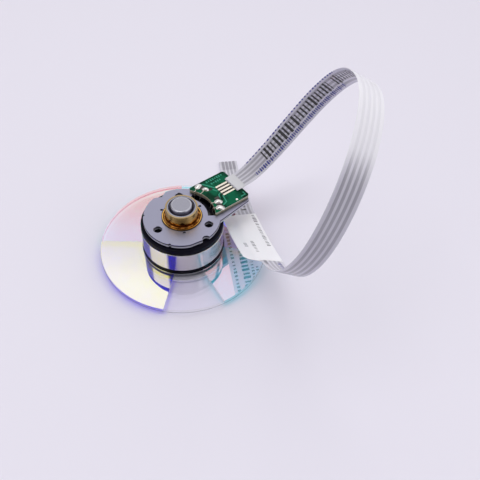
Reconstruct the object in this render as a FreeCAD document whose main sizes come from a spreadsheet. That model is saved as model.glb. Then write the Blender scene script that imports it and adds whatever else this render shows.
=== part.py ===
"""Projector colour wheel: a ring of dichroic glass segments on a small outer-rotor motor.

The wheel lies glass down. The origin is on the wheel's axis, at the outer face of the clamp cap,
with +Z towards the motor's mounting plate. Lengths are in millimetres and angles in degrees.
"""
import FreeCAD
import Part
import Sketcher
import math
import os
import re

# Driving dimensions, each with the name of its spreadsheet cell
SIZES = {
    # clamp cap on the outer face of the glass
    "cap_radius": 10.9,
    "cap_thickness": 1.0,
    "cap_edge": 0.25,
    "cap_groove_inner": 5.6,
    "cap_groove_outer": 8.4,
    "cap_groove_depth": 0.45,
    # glass ring and its six filter segments
    "glass_radius": 20.0,
    "glass_bore": 8.0,
    "glass_thickness": 1.0,
    "seam_angle": 0.15,
    "first_seam": -57.2,
    "cyan_span": 52.2,
    "yellow_span": 43.0,
    "red_span": 59.0,
    "green_span": 85.1,
    "blue_span": 80.4,
    # hub between the glass and the rotor can
    "hub_overhang": 0.14,
    "hub_flange": 0.35,
    "pilot_clearance": 0.03,
    "hub_boss_radius": 3.0,
    "spigot_radius": 1.6,
    "spigot_stand": 0.25,
    "spacer_height": 0.6,
    "spacer_width": 1.3,
    # rotor can with its magnet and end ring
    "air_gap": 0.36,
    "can_wall": 0.8,
    "can_floor": 0.7,
    "can_height": 5.57,
    "can_edge": 0.1,
    "magnet_wall": 1.0,
    "magnet_lift": 0.25,
    "end_ring_overhang": 0.07,
    "end_ring_width": 1.53,
    "end_ring_height": 1.63,
    "end_ring_edge": 0.35,
    # stator
    "core_lift": 1.35,
    "core_radius": 7.6,
    "core_bore": 3.3,
    "core_height": 2.4,
    "yoke_radius": 4.6,
    "tooth_width": 1.1,
    "tooth_count": 9,
    "tooth_root": 0.1,
    "shoe_depth": 0.55,
    "slot_opening": 0.7,
    "insulator_thickness": 0.3,
    "coil_width": 2.3,
    "coil_overhang": 0.65,
    "coil_clearance": 0.02,
    "coil_gap": 0.1,
    "cover_bore": 4.4,
    "cover_wall": 0.5,
    "cover_height": 2.2,
    # bearing housing with what it holds
    "housing_lift": 0.3,
    "housing_bore": 2.4,
    "housing_radius": 3.3,
    "housing_seat": 3.6,
    "flange_radius": 4.75,
    "flange_height": 0.25,
    "flange_edge": 0.12,
    "boss_radius": 3.76,
    "boss_height": 3.22,
    "boss_edge": 0.2,
    "boss_foot": 0.4,
    "cap_seat_radius": 3.38,
    "cap_seat_depth": 1.46,
    "bearing_length": 8.1,
    "bearing_clearance": 0.02,
    "shaft_radius": 0.75,
    "shaft_neck": 0.55,
    "shaft_tip": 0.18,
    "shaft_point": 0.35,
    "washer_radius": 1.4,
    "washer_thickness": 0.15,
    "washer_clearance": 0.03,
    "pad_thickness": 0.45,
    "crown_radius": 2.85,
    "crown_slope": 0.35,
    "crown_edge": 0.22,
    "crown_rise": 0.65,
    "rim_drop": 0.08,
    "rim_groove_depth": 0.35,
    "rim_groove_width": 0.08,
    "rim_groove_flank": 0.12,
    # base plate with its arm
    "plate_gap": 0.29,
    "plate_thickness": 1.0,
    "plate_radius": 9.0,
    "arm_angle": 40.5,
    "arm_root": 5.9,
    "arm_root_width": 13.0,
    "arm_end_width": 10.9,
    "arm_end_offset": 0.25,
    "arm_length": 16.1,
    "arm_corner": 0.8,
    "window_inner": 6.05,
    "window_outer": 8.3,
    "window_span": 71.0,
    "hole_circle": 6.74,
    "hole_radius": 0.9,
    "hole_chamfer": 0.15,
    "first_hole": -59.1,
    "dimple_circle": 5.2,
    "dimple_radius": 0.33,
    "dimple_depth": 0.6,
    "first_dimple": 0.9,
    "notch_radius": 0.9,
    "notch_angle": -87.5,
    "flat_depth": 0.25,
    "flat_angle": -100.0,
    "nick_radius": 0.3,
    "first_nick": -142.5,
    "second_nick": 141.8,
    "step_reach": 8.0,
    "step_angle": 91.9,
    "step_opening": 127.8,
    # circuit board on the arm
    "glue_thickness": 0.1,
    "glue_margin": 0.5,
    "board_thickness": 0.8,
    "board_overhang": 0.3,
    "board_length": 10.5,
    "board_width": 10.5,
    "board_offset": 0.5,
    "board_corner": 0.8,
    "board_lip": 0.55,
    "blob_height": 0.45,
    "blob_radius": 0.78,
    "blob_top_radius": 0.32,
    "outer_blob_across": 4.4,
    "outer_blob_along": 8.2,
    "inner_blob_across": 2.55,
    "inner_blob_along": 9.05,
    "wire_diameter": 0.16,
    "wire_clearance": 0.02,
    "wire_rise": 0.12,
    "wire_reach": 0.35,
    "wire_drop": 0.75,
    # ribbon cable
    "conductor_pitch": 1.0,
    "conductor_width": 0.5,
    "conductor_height": 0.1,
    "finger_length": 3.5,
    "film_overlap": 1.6,
    "film_flat": 3.5,
    "ribbon_width": 5.0,
    "ribbon_thickness": 0.3,
    "tape_inset": 0.2,
    "tape_length": 1.6,
    "tape_margin": 0.1,
    "tape_thickness": 0.1,
    "stiffener_length": 6.0,
    "stiffener_thickness": 0.2,
    "contact_length": 3.2,
    "contact_inset": 0.2,
    "label_start": 122.0,
    "label_length": 24.5,
    "label_width": 8.6,
    "label_film": 0.08,
    "label_corner": 1.4,
    "label_clearance": 0.02,
    "label_step": 0.3,
}

# The ribbon's free route, chosen by hand: corner points of its middle line beyond the board,
# then the direction of its width at each of them
RIBBON_ROUTE = [
    (16.6, 14.3, 14.5), (20.6, 16.3, 19.0),
    (25.3, 17.2, 26.4), (29.8, 15.9, 35.2), (33.2, 11.4, 43.4), (35.1, 4.0, 49.2),
    (35.6, -7.0, 52.9), (33.7, -18.3, 50.6), (30.2, -26.3, 42.7), (26.4, -28.6, 31.9),
    (23.1, -24.3, 21.5), (20.4, -12.2, 11.6), (15.0, 7.3, 4.0), (11.8, 18.9, 2.6),
    (10.4, 25.6, 0.35), (9.3, 31.8, 0.35),
]
RIBBON_ACROSS = [
    (-0.67, 0.70, 0.26), (-0.72, 0.58, 0.38),
    (-0.79, 0.42, 0.47), (-0.84, 0.28, 0.48), (-0.88, 0.18, 0.46), (-0.91, 0.12, 0.41),
    (-0.93, 0.09, 0.36), (-0.95, 0.10, 0.33), (-0.95, 0.10, 0.33), (-0.96, 0.07, 0.33),
    (-0.96, 0.01, 0.30), (-0.97, -0.12, 0.17), (-0.98, -0.22, 0.04), (-0.98, -0.20, 0.08),
    (-0.98, -0.17, 0.0), (-0.98, -0.17, 0.0),
]

# Heights above the table, as sums of the driving dimensions
GLASS_BOTTOM = "cap_thickness"
GLASS_TOP = GLASS_BOTTOM + " + glass_thickness"
HUB_TOP = GLASS_TOP + " + hub_flange"
CAN_BOTTOM = HUB_TOP + " + spacer_height"
CAN_FLOOR_TOP = CAN_BOTTOM + " + can_floor"
CAN_TOP = CAN_BOTTOM + " + can_height"
END_RING_TOP = CAN_TOP + " + end_ring_height"
CORE_BOTTOM = CAN_FLOOR_TOP + " + core_lift"
CORE_TOP = CORE_BOTTOM + " + core_height"
COVER_BOTTOM = CORE_TOP + " + insulator_thickness"
COVER_TOP = COVER_BOTTOM + " + cover_height"
SPIGOT_TOP = CAN_FLOOR_TOP + " + spigot_stand"
HOUSING_BOTTOM = SPIGOT_TOP + " + housing_lift"
PLATE_BOTTOM = END_RING_TOP + " + plate_gap"
PLATE_TOP = PLATE_BOTTOM + " + plate_thickness"
FLANGE_TOP = PLATE_TOP + " + flange_height"
BOSS_TOP = PLATE_TOP + " + boss_height"
CAP_SEAT = BOSS_TOP + " - cap_seat_depth"
PAD_BOTTOM = CAP_SEAT + " - pad_thickness"
BEARING_TOP = HOUSING_BOTTOM + " + bearing_length"
BOARD_BOTTOM = PLATE_TOP + " + glue_thickness"
BOARD_TOP = BOARD_BOTTOM + " + board_thickness"

# Radii and places along the arm that follow from others
CAN_RADIUS = "core_radius + air_gap + magnet_wall + can_wall"
HUB_RADIUS = CAN_RADIUS + " + hub_overhang"
END_RING_RADIUS = CAN_RADIUS + " + end_ring_overhang"
END_RING_BORE = END_RING_RADIUS + " - end_ring_width"
BOARD_END = "arm_length + board_overhang"
BOARD_START = BOARD_END + " - board_length"
BOARD_ARC = "window_outer - board_lip"
FILM_START = BOARD_END + " - film_overlap"

document = FreeCAD.newDocument("colour_wheel")
sheet = document.addObject("Spreadsheet::Sheet", "sizes")
for row, (alias, amount) in enumerate(SIZES.items(), 1):
    sheet.set(f"A{row}", alias)
    sheet.set(f"B{row}", str(amount))
    sheet.setAlias(f"B{row}", alias)
document.recompute()

pieces = []


def formula(text):
    """The text as a FreeCAD expression, with the spreadsheet named before each of its cells."""
    return re.sub(r"[a-z]\w*", lambda word: "sizes." * (word.group() in SIZES) + word.group(), text)


def number(text):
    """The present value of an expression."""
    return float(sheet.evalExpression(formula(text)))


def polar(radius, angle):
    """Expressions for the two coordinates of a point at a radius and an angle."""
    return f"({radius}) * cos(({angle}) * 1 deg)", f"({radius}) * sin(({angle}) * 1 deg)"


def bind(thing, **properties):
    """Tie properties to the spreadsheet; a double underscore in a name stands for a dot."""
    for name, text in properties.items():
        thing.setExpression(name.replace("__", "."), formula(text))
    return thing


def finish(thing, label):
    """Give a sub-part its label and list it for export."""
    thing.Label = label
    pieces.append(thing)
    return thing


def turn(thing, angle):
    """Turn a sub-part about the wheel's axis by an angle from the spreadsheet."""
    thing.Placement = FreeCAD.Placement(thing.Placement.Base, FreeCAD.Rotation(FreeCAD.Vector(0, 0, 1), 1))
    return bind(thing, Placement__Rotation__Angle=angle)


def cylinder(name, radius, bottom, height, along="0", across="0", span="360"):
    solid = document.addObject("Part::Cylinder", name)
    return bind(solid, Radius=radius, Height=height, Angle=span, Placement__Base__x=along,
                Placement__Base__y=across, Placement__Base__z=bottom)


def box(name, corner, extent):
    solid = document.addObject("Part::Box", name)
    return bind(solid, Length=extent[0], Width=extent[1], Height=extent[2],
                Placement__Base__x=corner[0], Placement__Base__y=corner[1], Placement__Base__z=corner[2])


def cut(name, base, tool):
    result = document.addObject("Part::Cut", name)
    result.Base = base
    result.Tool = tool
    return result


def fuse(name, shapes):
    result = document.addObject("Part::MultiFuse", name)
    result.Shapes = shapes
    return result


def group(name, shapes):
    result = document.addObject("Part::Compound", name)
    result.Links = shapes
    return result


def tube(name, outer, inner, bottom, height, span="360"):
    wall = cylinder(name + "_outer", outer, bottom, height, span=span)
    bore = cylinder(name + "_bore", inner, bottom, height)
    return cut(name + "_tube", wall, bore)


def origin_plane(body, role):
    return [feature for feature in body.Origin.OriginFeatures if feature.Role == role][0]


def polygon_sketch(body, name, role, corners):
    """A closed sketch through corners, each held at its two distances from the origin."""
    sketch = body.newObject("Sketcher::SketchObject", name)
    sketch.AttachmentSupport = (origin_plane(body, role), [""])
    sketch.MapMode = "FlatFace"
    places = [FreeCAD.Vector(number(first), number(second), 0) for first, second in corners]
    count = len(places)
    for index in range(count):
        sketch.addGeometry(Part.LineSegment(places[index], places[(index + 1) % count]))
    for index in range(count):
        sketch.addConstraint(Sketcher.Constraint("Coincident", index, 2, (index + 1) % count, 1))
    for index, pair in enumerate(corners):
        for kind, text, axis in (("DistanceX", pair[0], -2), ("DistanceY", pair[1], -1)):
            if text == "0":
                sketch.addConstraint(Sketcher.Constraint("PointOnObject", index, 1, axis))
            else:
                held = sketch.addConstraint(Sketcher.Constraint(kind, -1, 1, index, 1, number(text)))
                sketch.setExpression(f"Constraints[{held}]", formula(text))
    return sketch


def turned(name, corners):
    """A body turned about the wheel's axis from its half section: (radius, height) corners."""
    body = document.addObject("PartDesign::Body", name)
    profile = polygon_sketch(body, name + "_profile", "XZ_Plane", corners)
    revolution = body.newObject("PartDesign::Revolution", name + "_turning")
    revolution.Profile = profile
    revolution.ReferenceAxis = (profile, ["V_Axis"])
    revolution.Angle = 360
    document.recompute()
    return body


def padded(name, corners, bottom, height):
    """A body padded upwards from a flat outline: (along, across) corners."""
    body = document.addObject("PartDesign::Body", name)
    outline = polygon_sketch(body, name + "_outline", "XY_Plane", corners)
    bind(outline, AttachmentOffset__Base__z=bottom)
    pad = body.newObject("PartDesign::Pad", name + "_pad")
    pad.Profile = outline
    bind(pad, Length=height)
    document.recompute()
    return body


def break_edges(body, name, kind, chosen, radius):
    """A fillet or chamfer on the edges for which chosen(edge) is true."""
    document.recompute()
    edges = [f"Edge{index}" for index, edge in enumerate(body.Shape.Edges, 1) if chosen(edge)]
    feature = body.newObject("PartDesign::" + kind, name)
    feature.Base = (body.Tip if body.Tip != feature else feature.BaseFeature, edges)
    bind(feature, **{"Radius" if kind == "Fillet" else "Size": radius})
    document.recompute()
    return feature


def circle_at(radius, height):
    """A test for the full or part circle of a radius at a height about the wheel's axis."""
    def test(edge):
        return (isinstance(edge.Curve, Part.Circle) and abs(edge.Curve.Radius - number(radius)) < 1e-4
                and abs(edge.Curve.Center.z - number(height)) < 1e-4)
    return test


def upright_at(along, across):
    """A test for a vertical edge at a place."""
    def test(edge):
        box = edge.BoundBox
        return (box.XLength < 1e-6 and box.YLength < 1e-6 and abs(box.XMin - number(along)) < 1e-4
                and abs(box.YMin - number(across)) < 1e-4)
    return test


def clamp_cap():
    """Outer clamp cap, with a chamfered rim and a ring groove for balancing paste."""
    body = turned("clamp_cap", [
        ("0", "0"), ("cap_groove_inner", "0"), ("cap_groove_inner", "cap_groove_depth"),
        ("cap_groove_outer", "cap_groove_depth"), ("cap_groove_outer", "0"), ("cap_radius - cap_edge", "0"),
        ("cap_radius", "cap_edge"), ("cap_radius", "cap_thickness"), ("0", "cap_thickness")])
    finish(body, "clamp_cap")


def filter_segments():
    """Six glass segments that share one ring, bonded edge to edge with thin seams."""
    start = "first_seam"
    for colour in ("cyan", "yellow", "red", "green", "blue", "clear"):
        if colour == "clear":
            span = "360 - cyan_span - yellow_span - red_span - green_span - blue_span"
        else:
            span = colour + "_span"
        sector = tube(colour + "_glass", "glass_radius", "glass_bore", GLASS_BOTTOM, "glass_thickness",
                      span + " - seam_angle")
        finish(turn(sector, start), "filter_" + colour)
        start = start + " + " + span


def hub():
    """Hub: a pilot in the glass bore, a flange on the glass, a boss and a spigot for the can."""
    body = turned("hub", [
        ("shaft_radius", GLASS_BOTTOM), ("glass_bore - pilot_clearance", GLASS_BOTTOM),
        ("glass_bore - pilot_clearance", GLASS_TOP), (HUB_RADIUS, GLASS_TOP), (HUB_RADIUS, HUB_TOP),
        ("hub_boss_radius", HUB_TOP), ("hub_boss_radius", CAN_BOTTOM), ("spigot_radius", CAN_BOTTOM),
        ("spigot_radius", SPIGOT_TOP), ("shaft_radius", SPIGOT_TOP)])
    finish(body, "hub_flange")
    spacer = tube("spacer", CAN_RADIUS, CAN_RADIUS + " - spacer_width", HUB_TOP, "spacer_height")
    finish(spacer, "spacer_ring")


def rotor():
    """Rotor can with its lower edge broken, the ring magnet inside it and the black end ring."""
    inside = CAN_RADIUS + " - can_wall"
    can = turned("rotor_can", [
        ("spigot_radius", CAN_BOTTOM), (CAN_RADIUS + " - can_edge", CAN_BOTTOM),
        (CAN_RADIUS, CAN_BOTTOM + " + can_edge"), (CAN_RADIUS, CAN_TOP), (inside, CAN_TOP),
        (inside, CAN_FLOOR_TOP), ("spigot_radius", CAN_FLOOR_TOP)])
    finish(can, "rotor_can")
    magnet_height = "can_height - can_floor - magnet_lift"
    magnet_bottom = CAN_FLOOR_TOP + " + magnet_lift"
    magnet = tube("magnet", inside, inside + " - magnet_wall", magnet_bottom, magnet_height)
    finish(magnet, "ring_magnet")
    ring = turned("end_ring", [
        (END_RING_BORE, CAN_TOP), (END_RING_RADIUS, CAN_TOP), (END_RING_RADIUS, END_RING_TOP),
        (END_RING_BORE, END_RING_TOP)])
    rim = circle_at(END_RING_RADIUS, END_RING_TOP)
    break_edges(ring, "end_ring_top_edge", "Chamfer", rim, "end_ring_edge")
    finish(ring, "end_ring")


def spider(name, bottom, height):
    """One slice of the stator: a yoke ring, its teeth and the pole shoes at their ends."""
    teeth = []
    gaps = []
    for index in range(int(number("tooth_count"))):
        tooth = box(f"{name}_tooth_{index}", ("yoke_radius - tooth_root", "0 - tooth_width / 2", bottom),
                    ("core_radius - yoke_radius - shoe_depth / 2 + tooth_root", "tooth_width", height))
        gap = box(f"{name}_gap_{index}", ("yoke_radius", "0 - slot_opening / 2", bottom),
                  ("core_radius", "slot_opening", height))
        teeth.append(turn(group(f"{name}_turned_{index}", [tooth]), f"360 * {index} / tooth_count"))
        gaps.append(turn(group(f"{name}_spaced_{index}", [gap]), f"360 * {index + 0.5} / tooth_count"))
    yoke = tube(name + "_yoke", "yoke_radius", "core_bore", bottom, height)
    shoes = tube(name + "_shoes", "core_radius", "core_radius - shoe_depth", bottom, height)
    poles = cut(name + "_poles", shoes, fuse(name + "_gaps", gaps))
    return turn(fuse(name, [yoke, poles] + teeth), "arm_angle")


def stator():
    """Laminated core, its two insulators, one coil on each tooth and the cover over the windings."""
    finish(spider("core", CORE_BOTTOM, "core_height"), "stator_core")
    wound_bottom = CORE_BOTTOM + " - insulator_thickness"
    finish(spider("lower_slice", wound_bottom, "insulator_thickness"), "lower_insulator")
    finish(spider("upper_slice", CORE_TOP, "insulator_thickness"), "upper_insulator")
    count = int(number("tooth_count"))
    length = "core_radius - shoe_depth - yoke_radius - coil_gap * 2"
    wound = "core_height + insulator_thickness * 2"
    coils = []
    for index in range(count):
        outer = box(f"coil_{index}_outer", (
            "yoke_radius + coil_gap", "0 - coil_width / 2", wound_bottom + " - coil_overhang"),
            (length, "coil_width", wound + " + coil_overhang * 2"))
        inner = box(f"coil_{index}_inner", (
            "yoke_radius + coil_gap", "0 - tooth_width / 2 - coil_clearance",
            wound_bottom + " - coil_clearance"),
            (length, "tooth_width + coil_clearance * 2", wound + " + coil_clearance * 2"))
        coil = cut(f"coil_{index}", outer, inner)
        coils.append(turn(coil, f"arm_angle + 360 * {index} / tooth_count"))
    finish(group("coils", coils), "stator_coils")
    cover = turned("cover", [
        ("core_radius - cover_wall", COVER_BOTTOM), ("core_radius", COVER_BOTTOM),
        ("core_radius", COVER_TOP), ("cover_bore", COVER_TOP), ("cover_bore", COVER_TOP + " - cover_wall"),
        ("core_radius - cover_wall", COVER_TOP + " - cover_wall")])
    finish(cover, "winding_cover")


def housing():
    """Brass bearing housing with its flange on the plate, and the pieces that it holds."""
    body = turned("housing", [
        ("housing_bore", HOUSING_BOTTOM), ("housing_radius", HOUSING_BOTTOM),
        ("housing_radius", PLATE_BOTTOM), ("housing_seat", PLATE_BOTTOM),
        ("housing_seat", PLATE_TOP), ("flange_radius", PLATE_TOP),
        ("flange_radius", FLANGE_TOP), ("boss_radius", FLANGE_TOP), ("boss_radius", BOSS_TOP),
        ("cap_seat_radius", BOSS_TOP), ("cap_seat_radius", CAP_SEAT), ("housing_bore", CAP_SEAT)])
    break_edges(body, "boss_top_edge", "Chamfer", circle_at("boss_radius", BOSS_TOP), "boss_edge")
    break_edges(body, "flange_top_edge", "Chamfer", circle_at("flange_radius", FLANGE_TOP), "flange_edge")
    break_edges(body, "boss_foot_edge", "Chamfer", circle_at("boss_radius", FLANGE_TOP), "boss_foot")
    finish(body, "bearing_housing")
    rim = BOSS_TOP + " - rim_drop"
    groove = BOSS_TOP + " - rim_groove_depth"
    groove_edge = "crown_radius + rim_groove_width"
    crown = BOSS_TOP + " + crown_rise"
    crown_top = "crown_radius - crown_slope"
    cap = turned("housing_cap", [
        ("0", CAP_SEAT), ("cap_seat_radius", CAP_SEAT), ("cap_seat_radius", rim),
        (groove_edge + " + rim_groove_flank", rim), (groove_edge, groove), ("crown_radius", groove),
        (crown_top, crown + " - crown_edge"), (crown_top + " - crown_edge", crown), ("0", crown)])
    finish(cap, "housing_cap")
    bearing_bore = "shaft_radius + bearing_clearance"
    bearing = tube("bearing", "housing_bore", bearing_bore, HOUSING_BOTTOM, "bearing_length")
    finish(bearing, "sleeve_bearing")
    pad = cylinder("pad", "housing_bore", PAD_BOTTOM, "pad_thickness")
    finish(pad, "thrust_pad")
    washer_bottom = BEARING_TOP + " + washer_clearance"
    washer_top = washer_bottom + " + washer_thickness"
    shaft = turned("shaft", [
        ("0", GLASS_BOTTOM), ("shaft_radius", GLASS_BOTTOM), ("shaft_radius", washer_bottom),
        ("shaft_neck", washer_bottom), ("shaft_neck", washer_top), ("shaft_radius", washer_top),
        ("shaft_radius", PAD_BOTTOM + " - shaft_tip"), ("shaft_point", PAD_BOTTOM), ("0", PAD_BOTTOM)])
    finish(shaft, "motor_shaft")
    washer = tube("washer", "washer_radius", "shaft_neck", washer_bottom, "washer_thickness")
    finish(washer, "retaining_washer")


def drill(name, radius, circle, angle, depth="plate_thickness", span="360"):
    """A cutting cylinder down from the plate's upper face at a place on a circle."""
    along, across = polar(circle, angle)
    return cylinder(name, radius, f"{PLATE_TOP} - {depth}", depth, along, across, span)


def base_plate():
    """Stamped plate: a round body, the flared arm, a window, three holes, stake marks and notches."""
    disc = cylinder("plate_disc", "plate_radius", PLATE_BOTTOM, "plate_thickness")
    low_end = "arm_end_offset - arm_end_width / 2"
    high_end = "arm_end_offset + arm_end_width / 2"
    arm = padded("plate_arm", [
        ("arm_root", "0 - arm_root_width / 2"), ("arm_length", low_end), ("arm_length", high_end),
        ("arm_root", "arm_root_width / 2")], PLATE_BOTTOM, "plate_thickness")
    break_edges(arm, "arm_end_corners", "Fillet", lambda edge: (
        upright_at("arm_length", low_end)(edge) or upright_at("arm_length", high_end)(edge)), "arm_corner")
    window = tube("plate_window", "window_outer", "window_inner", PLATE_BOTTOM, "plate_thickness",
                  "window_span")
    tools = [cylinder("plate_bore", "housing_seat", PLATE_BOTTOM, "plate_thickness"),
             turn(window, "0 - window_span / 2")]
    for index in range(3):
        tools.append(drill(f"hole_{index}", "hole_radius", "hole_circle", f"first_hole + {120 * index}"))
        tools.append(drill(f"dimple_{index}", "dimple_radius", "dimple_circle",
                           f"first_dimple + {120 * index}", "dimple_depth"))
    tools.append(drill("notch", "notch_radius", "plate_radius", "notch_angle"))
    tools.append(drill("nick_0", "nick_radius", "plate_radius", "first_nick"))
    tools.append(drill("nick_1", "nick_radius", "plate_radius", "second_nick"))
    flat = box("flat", ("plate_radius - flat_depth", "0 - plate_radius / 2", PLATE_BOTTOM),
               ("plate_radius", "plate_radius", "plate_thickness"))
    tools.append(turn(group("turned_flat", [flat]), "flat_angle"))
    step = drill("step", "plate_radius / 2", "step_reach", "step_angle", span="step_opening")
    step.Placement = FreeCAD.Placement(step.Placement.Base, FreeCAD.Rotation(FreeCAD.Vector(0, 0, 1), 1))
    tools.append(bind(step, Placement__Rotation__Angle="step_angle - step_opening / 2"))
    blank = cut("plate_blank", fuse("plate_outline", [disc, arm]), fuse("plate_tools", tools))
    document.recompute()
    chamfer = document.addObject("Part::Chamfer", "plate_chamfer")
    chamfer.Base = blank
    rims = []
    for index, edge in enumerate(blank.Shape.Edges, 1):
        if (isinstance(edge.Curve, Part.Circle) and abs(edge.Curve.Radius - number("hole_radius")) < 1e-4
                and abs(math.hypot(edge.Curve.Center.x, edge.Curve.Center.y) - number("hole_circle")) < 1e-3
                and abs(edge.Curve.Center.z - number(PLATE_TOP)) < 1e-4):
            rims.append((index, number("hole_chamfer"), number("hole_chamfer")))
    chamfer.Edges = rims
    finish(turn(chamfer, "arm_angle"), "base_plate")


def board_outline(start, end, width):
    low = f"board_offset - {width} / 2"
    high = f"board_offset + {width} / 2"
    return [(start, low), (end, low), (end, high), (start, high)]


def circuit_board():
    """Board with round corners and a hollow inner edge, and the glue film that holds it."""
    corners = board_outline(BOARD_START, BOARD_END, "board_width")
    body = padded("board", corners, BOARD_BOTTOM, "board_thickness")
    places = [upright_at(*pair) for pair in corners]
    break_edges(body, "board_corners", "Fillet", lambda edge: any(test(edge) for test in places),
                "board_corner")
    hollow = cylinder("board_hollow", BOARD_ARC, BOARD_BOTTOM, "board_thickness")
    finish(turn(cut("board_shape", body, hollow), "arm_angle"), "circuit_board")
    glue = padded("glue", [
        ("window_outer + glue_margin", "board_offset - board_width / 2 + glue_margin"),
        ("arm_length - glue_margin", "board_offset - board_width / 2 + glue_margin"),
        ("arm_length - glue_margin", "board_offset + board_width / 2 - glue_margin"),
        ("window_outer + glue_margin", "board_offset + board_width / 2 - glue_margin")],
        PLATE_TOP, "glue_thickness")
    finish(turn(glue, "arm_angle"), "board_adhesive")


def solder():
    """Four solder joints on the board and the winding ends that run from them into the window."""
    blobs = []
    wires = []
    top = number(BOARD_TOP)
    for index, (along, across) in enumerate((
            ("outer_blob_along", "board_offset + outer_blob_across"),
            ("inner_blob_along", "board_offset + inner_blob_across"),
            ("inner_blob_along", "board_offset - inner_blob_across"),
            ("outer_blob_along", "board_offset - outer_blob_across"))):
        blob = document.addObject("Part::Cone", f"blob_{index}")
        bind(blob, Radius1="blob_radius", Radius2="blob_top_radius", Height="blob_height",
             Placement__Base__x=along, Placement__Base__y=across, Placement__Base__z=BOARD_TOP)
        blobs.append(blob)
        centre = FreeCAD.Vector(number(along), number(across), 0)
        inward = FreeCAD.Vector(-centre.x, -centre.y, 0).normalize()
        half = number("wire_diameter") / 2
        spare = number("wire_clearance")
        board_edge = math.hypot(centre.x, centre.y) - number(BOARD_ARC)
        path = [centre + inward * distance + FreeCAD.Vector(0, 0, height) for distance, height in (
            (number("blob_radius") + spare, top + half + spare),
            (board_edge + number("wire_reach"), top + half + number("wire_rise")),
            (board_edge + number("wire_drop"), number(COVER_TOP) + spare))]
        wires.append(bent_wire(path, half))
    finish(turn(group("blobs", blobs), "arm_angle"), "solder_joints")
    lead = document.addObject("Part::Feature", "leads")
    lead.Shape = Part.makeCompound(wires)
    finish(turn(lead, "arm_angle"), "phase_wires")


def smooth_path(points):
    """Straight runs joined by tangent arcs, each arc as large as its two runs allow."""
    edges = []
    radii = []
    last = points[0]
    for before, corner, after in zip(points, points[1:], points[2:]):
        into = corner - before
        out = after - corner
        shorter = min(into.Length, out.Length)
        half_turn = into.getAngle(out) / 2
        reach = 0.45 * shorter
        start = corner - FreeCAD.Vector(into).normalize() * reach
        end = corner + FreeCAD.Vector(out).normalize() * reach
        radius = reach / math.tan(half_turn)
        inward = (start + end) * 0.5 - corner
        centre = corner + FreeCAD.Vector(inward).normalize() * (radius / math.cos(half_turn))
        middle = centre + FreeCAD.Vector(corner - centre).normalize() * radius
        edges.append(Part.LineSegment(last, start).toShape())
        edges.append(Part.Arc(start, middle, end).toShape())
        radii.append(radius)
        last = end
    edges.append(Part.LineSegment(last, points[-1]).toShape())
    return edges, radii


def bent_wire(points, radius):
    """A thin round wire: a cylinder along each straight run and a ball at each bend."""
    runs = [Part.makeCylinder(radius, (end - start).Length, start, end - start)
            for start, end in zip(points, points[1:])]
    bends = [Part.makeSphere(radius, point) for point in points[1:-1]]
    return runs[0].fuse(runs[1:] + bends)


def ribbon_stations(points, widths):
    """Places along the ribbon's path: distance, point, forward, across and up directions."""
    edges, radii = smooth_path(points)
    knots = [0.0]
    for first, second in zip(points, points[1:]):
        knots.append(knots[-1] + (second - first).Length)
    places = []
    done = 0.0
    for number_of_edge, edge in enumerate(edges):
        pieces_of_edge = 1 if number_of_edge % 2 == 0 else 4
        for step in range(pieces_of_edge + (edge is edges[-1])):
            at = edge.FirstParameter + (edge.LastParameter - edge.FirstParameter) * step / pieces_of_edge
            along_edge = edge.Length * step / pieces_of_edge
            places.append((done + along_edge, edge.valueAt(at), edge.tangentAt(at)))
        done += edge.Length
    stations = []
    for distance, point, forward in places:
        reach = distance / done * knots[-1]
        index = max(i for i in range(len(knots) - 1) if knots[i] <= reach + 1e-9)
        share = (reach - knots[index]) / (knots[index + 1] - knots[index])
        across = widths[index] * (1 - share) + widths[index + 1] * share
        across = across - forward * forward.dot(across)
        across.normalize()
        stations.append((distance, point, forward, across, forward.cross(across)))
    return stations, radii


def section(station, left, right, low, high):
    """A rectangle across the path, from left to right of its middle and from low to high."""
    place, across, up = station[1], station[3], station[4]
    corners = [place + across * side + up * level
               for side, level in ((left, low), (right, low), (right, high), (left, high))]
    return Part.makePolygon(corners + corners[:1])


def at_distance(stations, distance):
    """The station at a distance along the path, between the two that enclose it."""
    for first, second in zip(stations, stations[1:]):
        if first[0] <= distance <= second[0]:
            share = (distance - first[0]) / (second[0] - first[0])
            parts = [first[item] * (1 - share) + second[item] * share for item in range(1, 5)]
            forward = parts[1].normalize()
            across = (parts[2] - forward * forward.dot(parts[2])).normalize()
            return (distance, parts[0], forward, across, forward.cross(across))
    return stations[-1]


def strip(sections):
    """A closed solid through a row of rectangles."""
    return Part.makeLoft(sections, True, True)


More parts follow.
